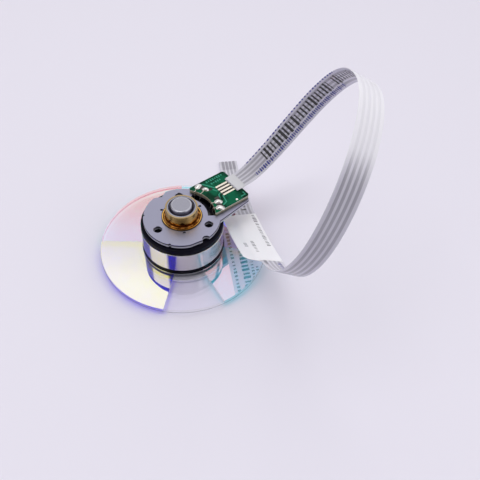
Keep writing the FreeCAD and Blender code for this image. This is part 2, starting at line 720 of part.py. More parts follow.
def ribbon_cable():
    """Flat ribbon cable in its free loop, with the ends that are soldered and plugged."""
    arm = FreeCAD.Rotation(FreeCAD.Vector(0, 0, 1), number("arm_angle"))
    across = number("board_offset")
    height = number(BOARD_TOP + " + ribbon_thickness / 2")
    on_board = [arm.multVec(FreeCAD.Vector(number(along), across, height))
                for along in (FILM_START, FILM_START + " + film_flat")]
    points = on_board + [FreeCAD.Vector(*point) for point in RIBBON_ROUTE]
    across_arm = arm.multVec(FreeCAD.Vector(0, 1, 0))
    widths = [across_arm, across_arm] + [FreeCAD.Vector(*way).normalize() for way in RIBBON_ACROSS]
    stations, radii = ribbon_stations(points, widths)
    half = number("ribbon_width") / 2
    flat = number("ribbon_thickness") / 2
    cable = document.addObject("Part::Feature", "ribbon")
    cable.Shape = strip([section(station, -half, half, -flat, flat) for station in stations])
    finish(cable, "ribbon_cable")
    length = stations[-1][0]
    print("ribbon radii", [round(radius, 1) for radius in radii], "length", round(length, 1))
    expected = length * half * flat * 4
    print("ribbon volume", round(cable.Shape.Volume, 2), "section times length", round(expected, 2))

    # the label wraps the ribbon and stands out beyond one of its edges
    first = number("label_start")
    last = first + number("label_length")
    film = number("label_film")
    spare = number("label_clearance")
    corner = number("label_corner")
    free_side = number("label_width") - half
    step = number("label_step")
    places = [first + corner * (1 - math.cos(math.pi / 2 * share / 4)) for share in range(5)]
    places += [station[0] for station in stations if places[-1] + step < station[0] < last - step] + [last]
    outer = []
    inner = []
    for distance in places:
        station = at_distance(stations, distance)
        short = max(0.0, corner - (distance - first))
        inset = corner - math.sqrt(max(0.0, corner * corner - short * short))
        outer.append(section(station, -half - spare - film, free_side - inset,
                             -flat - spare - film, flat + spare + film))
        inner.append(section(station, -half - spare, half + spare, -flat - spare, flat + spare))
    label = document.addObject("Part::Feature", "label")
    label.Shape = strip(outer).cut(strip(inner))
    finish(label, "cable_label")

    # the far end lies flat: a stiffener below the film and bare contacts on top
    tip = stations[-1]
    back = FreeCAD.Vector(tip[2]).negative()

    def slab(near, far, left, right, low, high):
        ends = [(0, tip[1] + back * near) + tip[2:], (0, tip[1] + back * far) + tip[2:]]
        return Part.makeLoft([section(end, left, right, low, high) for end in ends], True, True)

    stiffener = document.addObject("Part::Feature", "stiffener")
    below = -flat - number("stiffener_thickness")
    stiffener.Shape = slab(0.0, number("stiffener_length"), -half, half, below, -flat)
    finish(stiffener, "end_stiffener")
    contacts = document.addObject("Part::Feature", "contacts")
    wide = number("conductor_width") / 2
    near = number("contact_inset")
    far = near + number("contact_length")
    top = flat + number("conductor_height") / 2
    middles = [(index - 1.5) * number("conductor_pitch") for index in range(4)]
    contacts.Shape = Part.makeCompound([
        slab(near, far, middle - wide, middle + wide, flat, top) for middle in middles])
    finish(contacts, "end_contacts")


def board_end():
    """The four bared conductors soldered to the board, and the tape over the film's start."""
    fingers = []
    for index in range(4):
        side = f"board_offset + conductor_pitch * {index - 1.5} - conductor_width / 2"
        fingers.append(box(f"finger_{index}", (FILM_START + " - finger_length", side, BOARD_TOP),
                           ("finger_length", "conductor_width", "conductor_height")))
    finish(turn(group("fingers", fingers), "arm_angle"), "soldered_conductors")
    tape_start = FILM_START + " + tape_inset"
    outline = board_outline(tape_start, tape_start + " + tape_length", "(ribbon_width + tape_margin * 2)")
    tape = padded("tape", outline, BOARD_TOP + " + ribbon_thickness", "tape_thickness")
    finish(turn(tape, "arm_angle"), "joint_tape")


def export():
    """Check every object, then write each sub-part to its own file."""
    document.recompute()
    for thing in document.Objects:
        if "Invalid" in thing.State or "Error" in thing.State:
            raise RuntimeError(f"{thing.Name} failed: {thing.State}")
    os.makedirs("parts", exist_ok=True)
    for piece in pieces:
        shape = piece.Shape
        if shape.isNull() or not shape.isValid() or not shape.Solids:
            raise RuntimeError(f"{piece.Label} has no valid solid")
        shape.exportStep(f"parts/{piece.Label}.step")
        bounds = shape.BoundBox
        print(f"{piece.Label:20s} solids {len(shape.Solids):2d} volume {shape.Volume:9.3f} "
              f"x {bounds.XMin:.2f} {bounds.XMax:.2f} y {bounds.YMin:.2f} {bounds.YMax:.2f} "
              f"z {bounds.ZMin:.2f} {bounds.ZMax:.2f}")


clamp_cap()
filter_segments()
hub()
rotor()
stator()
housing()
base_plate()
circuit_board()
solder()
board_end()
ribbon_cable()
export()
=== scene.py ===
"""Projector colour wheel: a ring of coated glass segments on a small flat motor, with its cable.

The packed model is the fixed frame. Each piece made here takes its place from it, in metres.
"""
import math

import bmesh
import bpy
import numpy as np
from bpy.props import FloatProperty, FloatVectorProperty, IntProperty, PointerProperty
from mathutils import Matrix, Vector


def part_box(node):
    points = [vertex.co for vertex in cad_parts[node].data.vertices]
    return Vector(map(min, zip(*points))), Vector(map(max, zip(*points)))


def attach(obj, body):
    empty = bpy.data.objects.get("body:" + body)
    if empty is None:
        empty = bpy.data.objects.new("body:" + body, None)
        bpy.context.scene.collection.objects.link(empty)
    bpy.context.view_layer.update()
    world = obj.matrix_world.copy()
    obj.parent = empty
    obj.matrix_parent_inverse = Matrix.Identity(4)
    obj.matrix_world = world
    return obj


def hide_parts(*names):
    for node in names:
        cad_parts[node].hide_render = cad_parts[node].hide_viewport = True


bl_info = {
    "name": "Projector Colour Wheel",
    "version": (1, 0, 0),
    "blender": (4, 5, 0),
    "location": "View3D > Sidebar > Colour Wheel",
    "description": "Finishes a projector colour wheel round its packed frame",
    "category": "Add Mesh",
}

MM = 0.001
FULL_TURN = 2 * math.pi
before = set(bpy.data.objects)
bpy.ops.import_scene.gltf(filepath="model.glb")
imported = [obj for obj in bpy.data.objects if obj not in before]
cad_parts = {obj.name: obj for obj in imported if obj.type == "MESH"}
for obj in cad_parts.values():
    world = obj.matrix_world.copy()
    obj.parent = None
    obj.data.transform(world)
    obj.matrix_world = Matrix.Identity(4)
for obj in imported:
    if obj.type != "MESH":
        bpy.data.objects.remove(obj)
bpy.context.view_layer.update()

# Heights and radii read from the frame
GLASS_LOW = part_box("filter_blue")[0].z
GLASS_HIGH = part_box("filter_blue")[1].z
GLASS_RADIUS = -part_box("filter_green")[0].x
PLATE_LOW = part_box("base_plate")[0].z
PLATE_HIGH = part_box("base_plate")[1].z
BOARD_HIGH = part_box("circuit_board")[1].z
BOSS_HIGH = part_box("bearing_housing")[1].z
ARM_ANGLE = math.radians(40.5)

# The bearing housing's outside, the hollow and the bead of its flange, and the dome of its cap
BOSS_RADIUS = 3.76 * MM
HOLLOW_RADIUS = 4.20 * MM
BEAD_RADIUS = 4.38 * MM
DOME_RADIUS = 2.36 * MM

# The glass segments: name, first and last edge in degrees from +X
SEGMENTS = (
    ("cyan", -57.2, -5.0), ("yellow", -5.0, 38.0), ("red", 38.0, 97.0),
    ("green", 97.0, 182.1), ("blue", 182.1, 262.5), ("clear", 262.5, 302.8),
)
GLASS_BORE = 8.0 * MM
GLASS_SIDES = 360

# The light that each segment mirrors, and the light that it passes
COATINGS = {
    "cyan": ((0.585, 0.295, 0.32), (0.11, 0.68, 0.74)),
    "yellow": ((0.14, 0.18, 0.78), (0.72, 0.62, 0.06)),
    "red": ((0.12, 0.62, 0.72), (0.72, 0.06, 0.04)),
    "green": ((0.63, 0.16, 0.23), (0.10, 0.60, 0.50)),
    "blue": ((0.84, 0.83, 0.24), (0.075, 0.03, 0.84)),
    "clear": ((0.07, 0.07, 0.08), (0.92, 0.91, 0.94)),
}

# The cable's route, in millimetres: corner points, then the way its width lies
CABLE_ROUTE = (
    (10.930, 9.992, 12.49), (13.591, 12.265, 12.49), (16.6, 14.3, 14.5), (20.6, 16.3, 19.0),
    (25.3, 17.2, 26.4), (29.8, 15.9, 35.2), (33.2, 11.4, 43.4), (35.1, 4.0, 49.2),
    (35.6, -7.0, 52.9), (33.7, -18.3, 50.6), (30.2, -26.3, 42.7), (26.4, -28.6, 31.9),
    (23.1, -24.3, 21.5), (20.4, -12.2, 11.6), (15.0, 7.3, 4.0), (11.8, 18.9, 2.6),
    (10.4, 25.6, 0.35), (9.3, 31.8, 0.35),
)
CABLE_ACROSS = (
    (-0.649, 0.760, 0.0), (-0.649, 0.760, 0.0), (-0.67, 0.70, 0.26), (-0.72, 0.58, 0.38),
    (-0.79, 0.42, 0.47), (-0.84, 0.28, 0.48), (-0.88, 0.18, 0.46), (-0.91, 0.12, 0.41),
    (-0.93, 0.09, 0.36), (-0.95, 0.10, 0.33), (-0.95, 0.10, 0.33), (-0.96, 0.07, 0.33),
    (-0.96, 0.01, 0.30), (-0.97, -0.12, 0.17), (-0.98, -0.22, 0.04), (-0.98, -0.20, 0.08),
    (-0.98, -0.17, 0.0), (-0.98, -0.17, 0.0),
)


# Settings


def tint(name, description, default):
    """A colour in the panel."""
    return FloatVectorProperty(name=name, description=description, default=default, subtype="COLOR")


def number(name, description, default, **kind):
    """A number in the panel, with its unit or subtype."""
    return FloatProperty(name=name, description=description, default=default, **kind)


class StageSettings(bpy.types.PropertyGroup):
    """Camera, floor and lamps."""
    eye: FloatVectorProperty(
        name="Eye", description="Camera's place", default=(0.01371, -0.0947, 0.1137), subtype="XYZ",
        unit="LENGTH")
    tilt: number("Tilt", "Camera's angle below the horizon", math.radians(49.24), subtype="ANGLE")
    roll: number("Roll", "Camera's turn about its view", math.radians(2.58), subtype="ANGLE")
    lens: number("Lens", "Focal length in millimetres on 36", 45.0)
    floor_colour: tint("Floor", "Colour of the table top", (0.805, 0.78, 0.885))
    sky: number("Sky", "Strength of the light from all round", 1.13)
    key: number("Key", "Power of the lamp overhead", 0.36, unit="POWER")
    fill: number("Fill", "Power of the lamp at the side", 0.10, unit="POWER")


class GlassSettings(bpy.types.PropertyGroup):
    """Coated glass: what each segment mirrors and what it lets through."""
    edge_break: number("Edge break", "Bevel along the segments' edges", 0.08 * MM, unit="LENGTH")


for segment, (mirrored, let_through) in COATINGS.items():
    GlassSettings.__annotations__.update({
        segment + "_mirror": tint(segment.title() + " mirror", "Light that it mirrors", mirrored),
        segment + "_pass": tint(segment.title() + " pass", "Light that it passes", let_through)})


class MotorSettings(bpy.types.PropertyGroup):
    """Finishes of the motor's metal pieces."""
    plate_colour: tint("Plate", "Stamped plate's colour", (0.325, 0.325, 0.43))
    can_colour: tint("Can", "Polished can's colour", (0.74, 0.71, 0.69))
    brass_colour: tint("Brass", "Turned brass", (0.74, 0.49, 0.16))
    brass_stain: tint("Stain", "Brown film at the foot of the brass", (0.10, 0.028, 0.004))
    brass_amber: tint("Amber", "Hollow of the flange", (0.40, 0.185, 0.045))
    cap_colour: tint("Cap", "Pressed steel cap", (0.31, 0.31, 0.37))
    black_colour: tint("Black", "Moulded rings", (0.004, 0.0035, 0.009))
    lathe_sides: IntProperty(name="Sides", description="Faces round each turned piece", default=224)


class BoardSettings(bpy.types.PropertyGroup):
    """Circuit board and what is soldered to it."""
    resist_colour: tint("Resist", "Green lacquer", (0.001, 0.115, 0.055))
    trace_colour: tint("Traces", "Lacquer over copper", (0.038, 0.295, 0.195))
    core_colour: tint("Core", "Cut edge of the board", (0.42, 0.40, 0.27))
    tin_colour: tint("Tin", "Solder and tinned copper", (0.80, 0.78, 0.77))


class CableSettings(bpy.types.PropertyGroup):
    """Flat cable and its label."""
    width: number("Width", "Width of the film", 5.0 * MM, unit="LENGTH")
    pitch: number("Pitch", "Between two conductors", 1.0 * MM, unit="LENGTH")
    film_colour: tint("Film", "White film", (0.605, 0.59, 0.67))
    conductor_colour: tint("Conductors", "Film over a conductor", (0.365, 0.355, 0.415))
    ink_colour: tint("Black ink", "Larger marks", (0.012, 0.011, 0.014))
    blue_ink: tint("Blue ink", "Smaller marks", (0.018, 0.022, 0.25))
    label_colour: tint("Label", "White label", (0.86, 0.85, 0.91))


# Surfaces


def linked(name, data):
    """An object in the scene round a mesh, curve, camera or lamp."""
    thing = bpy.data.objects.new(name, data)
    bpy.context.scene.collection.objects.link(thing)
    return thing


def smoothed(mesh, angle):
    """Shade a mesh smooth, apart from its edges that are sharper than the angle in degrees."""
    mesh.polygons.foreach_set("use_smooth", np.ones(len(mesh.polygons), bool))
    mesh.set_sharp_from_angle(angle=math.radians(angle))


def face_values(mesh, kind):
    """The normals or centres of a mesh's faces, one row each."""
    values = np.zeros(len(mesh.polygons) * 3, np.float32)
    mesh.polygons.foreach_get(kind, values)
    return values.reshape(-1, 3)


def surface(name, points, wrap_u=False, wrap_v=False, caps=False, uv=None, smooth=30.0, attribute=None):
    """A mesh on a grid: point (i, j) joins (i+1, j) and (i, j+1); a wrap joins the last to the first.

    Caps close the first and last row. uv and attribute hold one value for each point. Doubles are
    merged, and the faces are turned outwards.
    """
    rows, columns = points.shape[:2]
    index = np.arange(rows * columns).reshape(rows, columns)
    ends = [index[0][::-1].tolist(), index[-1].tolist()] if caps else []
    if wrap_u:
        index = np.vstack([index, index[:1]])
    if wrap_v:
        index = np.hstack([index, index[:, :1]])
    quads = np.stack([index[:-1, :-1], index[:-1, 1:], index[1:, 1:], index[1:, :-1]], -1).reshape(-1, 4)
    mesh = bpy.data.meshes.new(name)
    mesh.from_pydata(points.reshape(-1, 3), [], quads.tolist() + ends)
    corner = np.zeros(len(mesh.loops), int)
    mesh.loops.foreach_get("vertex_index", corner)
    if uv is not None:
        layer = mesh.uv_layers.new(name="UVMap")
        layer.data.foreach_set("uv", uv.reshape(-1, 2)[corner].ravel().astype(np.float32))
    if attribute is not None:
        values = mesh.attributes.new(attribute[0], "FLOAT", "POINT")
        values.data.foreach_set("value", attribute[1].reshape(-1).astype(np.float32))
    shape = bmesh.new()
    shape.from_mesh(mesh)
    bmesh.ops.remove_doubles(shape, verts=shape.verts, dist=1e-7)
    bmesh.ops.recalc_face_normals(shape, faces=shape.faces)
    shape.to_mesh(mesh)
    shape.free()
    smoothed(mesh, smooth)
    return linked(name, mesh)


def joined(name, things):
    """Several objects as one mesh object."""
    shape = bmesh.new()
    for thing in things:
        shape.from_mesh(thing.data)
        bpy.data.objects.remove(thing)
    mesh = bpy.data.meshes.new(name)
    shape.to_mesh(mesh)
    shape.free()
    return linked(name, mesh)


def rounded(corners, radii, steps=5, closed=True):
    """An outline whose corners become arcs that touch both sides.

    An arc of radius r begins r / tan(half the corner's angle) from the corner on each side, and
    its centre lies r / sin(half the angle) from the corner on the bisector. radii are in millimetres.
    """
    corners = np.asarray(corners, float)
    outline = []
    count = len(corners)
    for place, (corner, radius) in enumerate(zip(corners, np.array(radii) * MM)):
        at_end = not closed and place in (0, count - 1)
        if radius <= 0 or at_end:
            outline.append(corner[None])
            continue
        back = corners[place - 1] - corner
        ahead = corners[(place + 1) % count] - corner
        back /= np.linalg.norm(back)
        ahead /= np.linalg.norm(ahead)
        half = math.acos(np.clip(back @ ahead, -1, 1)) / 2
        bisector = (back + ahead) / np.linalg.norm(back + ahead)
        centre = corner + bisector * radius / math.sin(half)
        first = corner + back * radius / math.tan(half) - centre
        last = corner + ahead * radius / math.tan(half) - centre
        sweep = math.pi - 2 * half
        share = np.linspace(0, 1, steps)[:, None]
        arc = (np.sin((1 - share) * sweep) * first + np.sin(share * sweep) * last) / math.sin(sweep)
        outline.append(centre + arc)
    return np.vstack(outline)


def turned(name, profile, first=0.0, last=FULL_TURN, sides=None, closed=True, wobble=None):
    """A profile of (radius, height) turned about Z: (r cos a, r sin a, z) for a from first to last.

    wobble gives a radius change for each angle and height.
    """
    sides = sides or bpy.context.scene.wheel_motor.lathe_sides
    full = abs(last - first) > FULL_TURN - 1e-6
    steps = sides if full else max(2, int(sides * (last - first) / FULL_TURN))
    angles = np.linspace(first, last, steps, endpoint=not full)[:, None]
    radius = np.broadcast_to(profile[:, 0], (len(angles), len(profile))).copy()
    height = np.broadcast_to(profile[:, 1], radius.shape)
    if wobble is not None:
        radius += wobble(angles, height)
    points = np.stack([radius * np.cos(angles), radius * np.sin(angles), height], -1)
    piece = surface(name, points, wrap_u=full, wrap_v=closed, caps=not full)
    # large faces set the normals, so that a straight wall mirrors as a straight wall
    piece.modifiers.new("straight_walls", "WEIGHTED_NORMAL").keep_sharp = True
    return piece


def lathed(name, corners, radii, node, body, finish, steps=5, closed=True, wobble=None):
    """A turned piece with rounded corners that stands for a CAD node and wears a finish."""
    piece = turned(name, rounded(corners, radii, steps, closed), closed=closed, wobble=wobble)
    return wear(piece, node, body, finish)


def softened(node, width, body, finish, segments=2):
    """A copy of a CAD node, merged, with its flat faces made whole and its edges bevelled.

    width is in millimetres. The copy stands for the node and wears a finish.
    """
    sharp = 35.0
    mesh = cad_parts[node].data.copy()
    mesh.materials.clear()
    shape = bmesh.new()
    shape.from_mesh(mesh)
    bmesh.ops.remove_doubles(shape, verts=shape.verts, dist=2e-6)
    bmesh.ops.dissolve_limit(shape, angle_limit=math.radians(1.0), verts=shape.verts, edges=shape.edges)
    shape.to_mesh(mesh)
    shape.free()
    piece = linked(node + "_soft", mesh)
    bevel = piece.modifiers.new("bevel", "BEVEL")
    bevel.width = width * MM
    bevel.segments = segments
    bevel.limit_method = "ANGLE"
    bevel.angle_limit = math.radians(sharp)
    bevel.harden_normals = True
    smoothed(mesh, sharp)
    return wear(piece, node, body, finish)


def wear(piece, node, body, finish):
    """Let a piece stand for a CAD node, ride on its body and wear a finish."""
    piece.data.materials.append(finish.material)
    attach(piece, body)
    if node:
        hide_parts(node)
    return piece


def coat(node, finish):
    """Give a CAD node that stays as it is a better material."""
    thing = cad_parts[node]
    if not thing.data.materials:
        thing.data.materials.append(finish.material)
    for slot in thing.material_slots:
        slot.material = finish.material


def on_board(spots):
    """Points on the board's top, from millimetres along and across its arm, which is turned about Z."""
    turn = Matrix.Rotation(ARM_ANGLE, 3, "Z")
    return np.array([turn @ Vector((along * MM, across * MM, BOARD_HIGH)) for along, across in spots])


def flat_bar(name, spots, width, height):
    """A flat track along a bent line on the board, of a width and height in millimetres.

    Its corners are the line's points, moved half the width across the line and the height up or down.
    """
    centre = on_board(spots)
    way = np.gradient(centre[:, :2], axis=0)
    way /= np.linalg.norm(way, axis=1, keepdims=True)
    side = np.stack([-way[:, 1], way[:, 0], np.zeros(len(way))], -1) * width * MM / 2
    up = np.array([0, 0, height * MM])
    corners = [centre + side - up, centre + side * 0.85 + up, centre - side * 0.85 + up, centre - side - up]
    return surface(name, np.stack(corners, 1), wrap_v=True, caps=True)


# Finishes


class Value:
    """A socket whose number or colour changes over the surface; sums on it become Math nodes."""

    def __init__(self, socket):
        self.socket = socket

    def math(self, operation, *others):
        """A Math node on this value and others."""
        return maths(operation, self, *others)

    def __add__(self, other):
        return self.math("ADD", other)

    def __sub__(self, other):
        return self.math("SUBTRACT", other)

    def __rsub__(self, other):
        return maths("SUBTRACT", other, self)

    def __mul__(self, other):
        return self.math("MULTIPLY", other)

    def __truediv__(self, other):
        return self.math("DIVIDE", other)

    def __gt__(self, other):
        return self.math("GREATER_THAN", other)

    def __lt__(self, other):
        return self.math("LESS_THAN", other)

    def __abs__(self):
        return self.math("ABSOLUTE")

    def rise(self, low, high):
        """0 below low and 1 above high, with a smooth change between."""
        node = add(self.socket.id_data, "MapRange", self, low, high)
        node.interpolation_type = "SMOOTHSTEP"
        return Value(node.outputs[0])

    def fall(self, low, high):
        """1 below low and 0 above high, with a smooth change between."""
        return 1.0 - self.rise(low, high)

    def between(self, low, high, soft):
        """1 from low to high, with a soft change inside each end."""
        return self.rise(low, low + soft[0]) * self.fall(high - soft[1], high)


def plug(source, target):
    """Link a value or socket to a socket, or set a plain number or colour on it."""
    if isinstance(source, Value):
        source = source.socket
    if isinstance(source, bpy.types.NodeSocket):
        target.id_data.links.new(source, target)
    elif target.type == "RGBA":
        target.default_value = (*source, 1.0)
    else:
        target.default_value = source


def add(tree, kind, *sources, **named):
    """A new shader node, with its first inputs and its named inputs plugged in."""
    node = tree.nodes.new("ShaderNode" + kind)
    for socket, source in zip(node.inputs, sources):
        plug(source, socket)
    for label, source in named.items():
        plug(source, node.inputs[label.replace("_", " ")])
    return node


def maths(operation, *values):
    """A Math node on numbers and values, of which one at least is a value."""
    tree = next(value.socket.id_data for value in values if isinstance(value, Value))
    node = add(tree, "Math", *values)
    node.operation = operation
    return Value(node.outputs[0])


def mix(tree, share, first, second):
    """A colour between first and second."""
    node = tree.nodes.new("ShaderNodeMix")
    node.data_type = "RGBA"
    plug(share, node.inputs[0])
    plug(first, node.inputs[6])
    plug(second, node.inputs[7])
    return Value(node.outputs[2])


def coordinates(tree, kind="Object"):
    """The three parts of a point's coordinates."""
    parts = add(tree, "SeparateXYZ", add(tree, "TexCoord").outputs[kind])
    return [Value(socket) for socket in parts.outputs]


def round_axis(tree):
    """Distance from the motor's axis, which is the root of x^2 + y^2, and height."""
    x, y, z = coordinates(tree)
    return (x.math("POWER", 2.0) + y.math("POWER", 2.0)).math("SQRT"), z


def noise(tree, scale, detail=3.0, stretch=(1, 1, 1), source=None):
    """Noise on Object coordinates, in features per metre."""
    source = source or add(tree, "TexCoord").outputs["Object"]
    place = add(tree, "Mapping", Vector=source, Scale=stretch).outputs[0]
    return Value(add(tree, "TexNoise", Vector=place, Scale=scale, Detail=detail).outputs["Fac"])


def shade(colour, share):
    """A colour made darker or lighter."""
    return tuple(min(1.0, channel * share) for channel in colour)


def node_group(name, inputs, outputs):
    """An empty shader group with its sockets, and the nodes at its two ends."""
    group = bpy.data.node_groups.new(name, "ShaderNodeTree")
    for label, value in inputs:
        socket = group.interface.new_socket(name=label, in_out="INPUT", socket_type="NodeSocketFloat")
        socket.default_value = value
    for label in outputs:
        group.interface.new_socket(name=label, in_out="OUTPUT", socket_type="NodeSocketFloat")
    return group, group.nodes.new("NodeGroupInput").outputs, group.nodes.new("NodeGroupOutput").inputs


def fine_grain():
    """Fine grain and faint smudges: a height for bump and a shift for roughness and colour."""
    group, given, result = node_group(
        "Fine Grain", [("Scale", 6000.0), ("Smudge Scale", 160.0)], ["Height", "Smudge"])
    plug(noise(group, given["Scale"], 2.0), result["Height"])
    plug(noise(group, given["Smudge Scale"], 4.0), result["Smudge"])
    return group


def tool_lines():
    """Tool lines of a turned piece: waves over radius plus height, broken up by noise."""
    group, given, result = node_group(
        "Tool Lines", [("Pitch", 0.00006), ("Breakup", 0.5)], ["Height", "Streak"])
    reach, z = round_axis(group)
    line = ((reach + z) / given["Pitch"]).math("SINE")
    flat = add(group, "CombineXYZ", reach, 0.0, z)
    streak = noise(group, 9000.0, 3.0, source=flat.outputs[0])
    plug(line * 0.25 + streak * given["Breakup"], result["Height"])
    plug(streak, result["Streak"])
    return group


class Finish:
    """A material with one Principled shader, and what changes over its surface."""

    def __init__(self, name, **plain):
        self.material = bpy.data.materials.new(name)
        self.material.use_nodes = True
        self.tree = self.material.node_tree
        self.shader = self.tree.nodes["Principled BSDF"]
        for label, value in plain.items():
            plug(value, self.shader.inputs[label.replace("_", " ")])

    def mix(self, share, first, second):
        """A colour between first and second."""
        return mix(self.tree, share, first, second)

    def noise(self, *values, **named):
        """Noise on Object coordinates."""
        return noise(self.tree, *values, **named)

    def group(self, builder, **values):
        """Place a shared group, made the first time, with its own values."""
        label = builder.__name__.replace("_", " ").title()
        node = self.tree.nodes.new("ShaderNodeGroup")
        node.node_tree = bpy.data.node_groups.get(label) or builder()
        for name, value in values.items():
            node.inputs[name.replace("_", " ")].default_value = value
        return [Value(socket) for socket in node.outputs]

    def colour(self):
        """The colour that the shader has so far."""
        return Value(self.shader.inputs["Base Color"].links[0].from_socket)

    def paint(self, colour):
        """Let a colour feed the shader."""
        plug(colour, self.shader.inputs["Base Color"])

    def vary(self, label, mask, low, high):
        """Drive a value of the shader between low and high by a mask."""
        node = add(self.tree, "MapRange", mask, 0.0, 1.0, low, high)
        plug(node.outputs[0], self.shader.inputs[label])

    def bump(self, height, strength, depth):
        """Raise the surface by a height, of a depth in millimetres."""
        node = add(self.tree, "Bump", Height=height, Strength=strength, Distance=depth * MM)
        plug(node.outputs[0], self.shader.inputs["Normal"])

    def output(self, shader):
        """Let another shader end the material."""
        plug(shader.outputs[0], self.tree.nodes["Material Output"].inputs["Surface"])

    def textured(self, group, colour, tones, roughness, strength, depth):
        """A group's height as bump, and its mask between two tones and two values of roughness."""
        height, mask = group
        self.paint(self.mix(mask, shade(colour, tones[0]), shade(colour, tones[1])))
        self.vary("Roughness", mask, *roughness)
        self.bump(height, strength, depth)
        return self


def metal(name, colour, roughness=(0.25, 0.4), grain=6000.0, depth=0.01, tone=0.08, smudge=160.0,
          strength=0.25):
    """Bare metal with fine grain, smudges in its gloss and a slight change of tone."""
    finish = Finish(name, Metallic=1.0)
    group = finish.group(fine_grain, Scale=grain, Smudge_Scale=smudge)
    return finish.textured(group, colour, (1 - tone, 1 + tone), roughness, strength, depth)


def turned_metal(name, colour, roughness=(0.15, 0.3), pitch=0.00006, depth=0.004, strength=0.3):
    """Metal with the fine lines of a lathe."""
    finish = Finish(name, Metallic=1.0)
    group = finish.group(tool_lines, Pitch=pitch)
    return finish.textured(group, colour, (0.9, 1.06), roughness, strength, depth)


def moulded(name, colour, roughness=(0.35, 0.5), grain=9000.0, depth=0.01, gloss=0.5):
    """Moulded or painted surface with a fine texture."""
    finish = Finish(name, Specular_IOR_Level=gloss)
    group = finish.group(fine_grain, Scale=grain, Smudge_Scale=220.0)
    return finish.textured(group, colour, (0.92, 1.08), roughness, 0.2, depth)


def coating(name, mirror, passed, painted_reflection_near_seam=None):
    """Interference coating: it mirrors one part of the light and passes the rest unbent.

    The colour given beside the seam along X is a painted reflection, standing in for the change of the
    mirrored light with the angle of view.
    """
    finish = Finish(name, Metallic=1.0, Roughness=0.015)
    colour = finish.mix(finish.noise(60.0, 2.0), shade(mirror, 0.93), shade(mirror, 1.07))
    # painted reflection: the mirrored colour shifts towards the seam along X
    if painted_reflection_near_seam:
        away = abs(coordinates(finish.tree)[1])
        colour = finish.mix(away.rise(0.0, 15.0 * MM), painted_reflection_near_seam, colour)
    finish.paint(colour)
    clear = add(finish.tree, "BsdfTransparent", Color=passed)
    finish.output(add(finish.tree, "AddShader", finish.shader.outputs[0], clear.outputs[0]))
    return finish


def bare_glass(name, passed):
    """Uncoated face of thin glass: passes nearly all light and mirrors a little at an angle."""
    finish = Finish(name, Base_Color=(0.9, 0.9, 0.92), Metallic=1.0, Roughness=0.03)
    clear = add(finish.tree, "BsdfTransparent", Color=passed)
    facing = add(finish.tree, "Fresnel", IOR=1.4)
    finish.output(add(
        finish.tree, "MixShader", facing.outputs[0], clear.outputs[0], finish.shader.outputs[0]))
    return finish


# Pieces


class WHEEL_OT_stage(bpy.types.Operator):
    """Camera at the photograph's angle, pale table, soft lamps and the sky's light"""
    bl_idname = "wheel.stage"
    bl_label = "Stage"

    def execute(self, context):
        look = context.scene.wheel_stage
        context.scene.view_settings.view_transform = "Standard"
        camera = linked("camera", bpy.data.cameras.new("camera"))
        camera.data.lens = look.lens
        camera.data.sensor_width = 36.0
        camera.data.clip_start = 0.005
        forward = Vector((0, math.cos(look.tilt), -math.sin(look.tilt)))
        right = Vector((1, 0, 0))
        up = right.cross(forward)
        turn = Matrix.Rotation(look.roll, 3, -forward)
        axes = Matrix((turn @ right, turn @ up, -forward)).transposed().to_4x4()
        camera.matrix_world = Matrix.Translation(look.eye) @ axes
        context.scene.camera = camera
        self.floor(look)
        self.sky(context, look)
        self.lamp("key_lamp", (-0.10, -0.02, 0.46), 0.24, look.key)
        self.lamp("fill_lamp", (0.34, -0.20, 0.20), 0.26, look.fill)
        return {"FINISHED"}

    def floor(self, look):
        """A round table top, far wider than the view and a hair below the part."""
        finish = Finish("table_top", Base_Color=look.floor_colour, Roughness=0.6, Specular_IOR_Level=0.1)
        ring = np.array([0.0, 0.05, 0.2, 1.0, 4.0])
        angles = np.linspace(0, FULL_TURN, 64, endpoint=False)[:, None]
        height = np.full((len(angles), len(ring)), -0.02 * MM)
        points = np.stack([ring * np.cos(angles), ring * np.sin(angles), height], -1)
        floor = surface("table", points, wrap_u=True)
        if floor.data.polygons[0].normal.z < 0:
            floor.data.flip_normals()
        floor.data.materials.append(finish.material)

    def sky(self, context, look):
        """Light from all round, darker low down and on two screens; the camera sees a pale backdrop."""
        world = context.scene.world or bpy.data.worlds.new("sky")
        context.scene.world = world
        world.use_nodes = True
        tree = world.node_tree
        tree.nodes.clear()
        x, y, z = coordinates(tree, "Generated")
        high = z.rise(-0.1, 0.5)
        level = high * 0.25 + 0.75
        azimuth = y.math("ARCTAN2", x)
        # in front on the camera's side, and at the back on the left: azimuths, heights and darkness
        screens = ((-2.40, -0.75, 0.08, 0.97, 0.96), (2.02, 2.98, 0.25, 0.93, 0.78))
        for first, last, low, top, dark in screens:
            screen = azimuth.between(first, last, (0.20, 0.09)) * z.between(low, top, (0.08, 0.1))
            level = level * (1.0 - screen * dark)
        colour = mix(tree, high, (0.86, 0.86, 0.93), (1.0, 0.99, 0.98))
        light = add(tree, "Background", Color=colour, Strength=level * look.sky)
        seen = add(tree, "Background", Color=look.floor_colour)
        path = add(tree, "LightPath").outputs["Is Camera Ray"]
        both = add(tree, "MixShader", path, light.outputs[0], seen.outputs[0])
        add(tree, "OutputWorld", both.outputs[0])

    def lamp(self, name, place, size, power):
        """A square soft lamp that looks at the wheel."""
        data = bpy.data.lights.new(name, "AREA")
        data.size = size
        data.energy = power
        way = Vector((0.01, 0, 0.01)) - Vector(place)
        turn = way.to_track_quat("-Z", "Y").to_matrix().to_4x4()
        linked(name, data).matrix_world = Matrix.Translation(place) @ turn


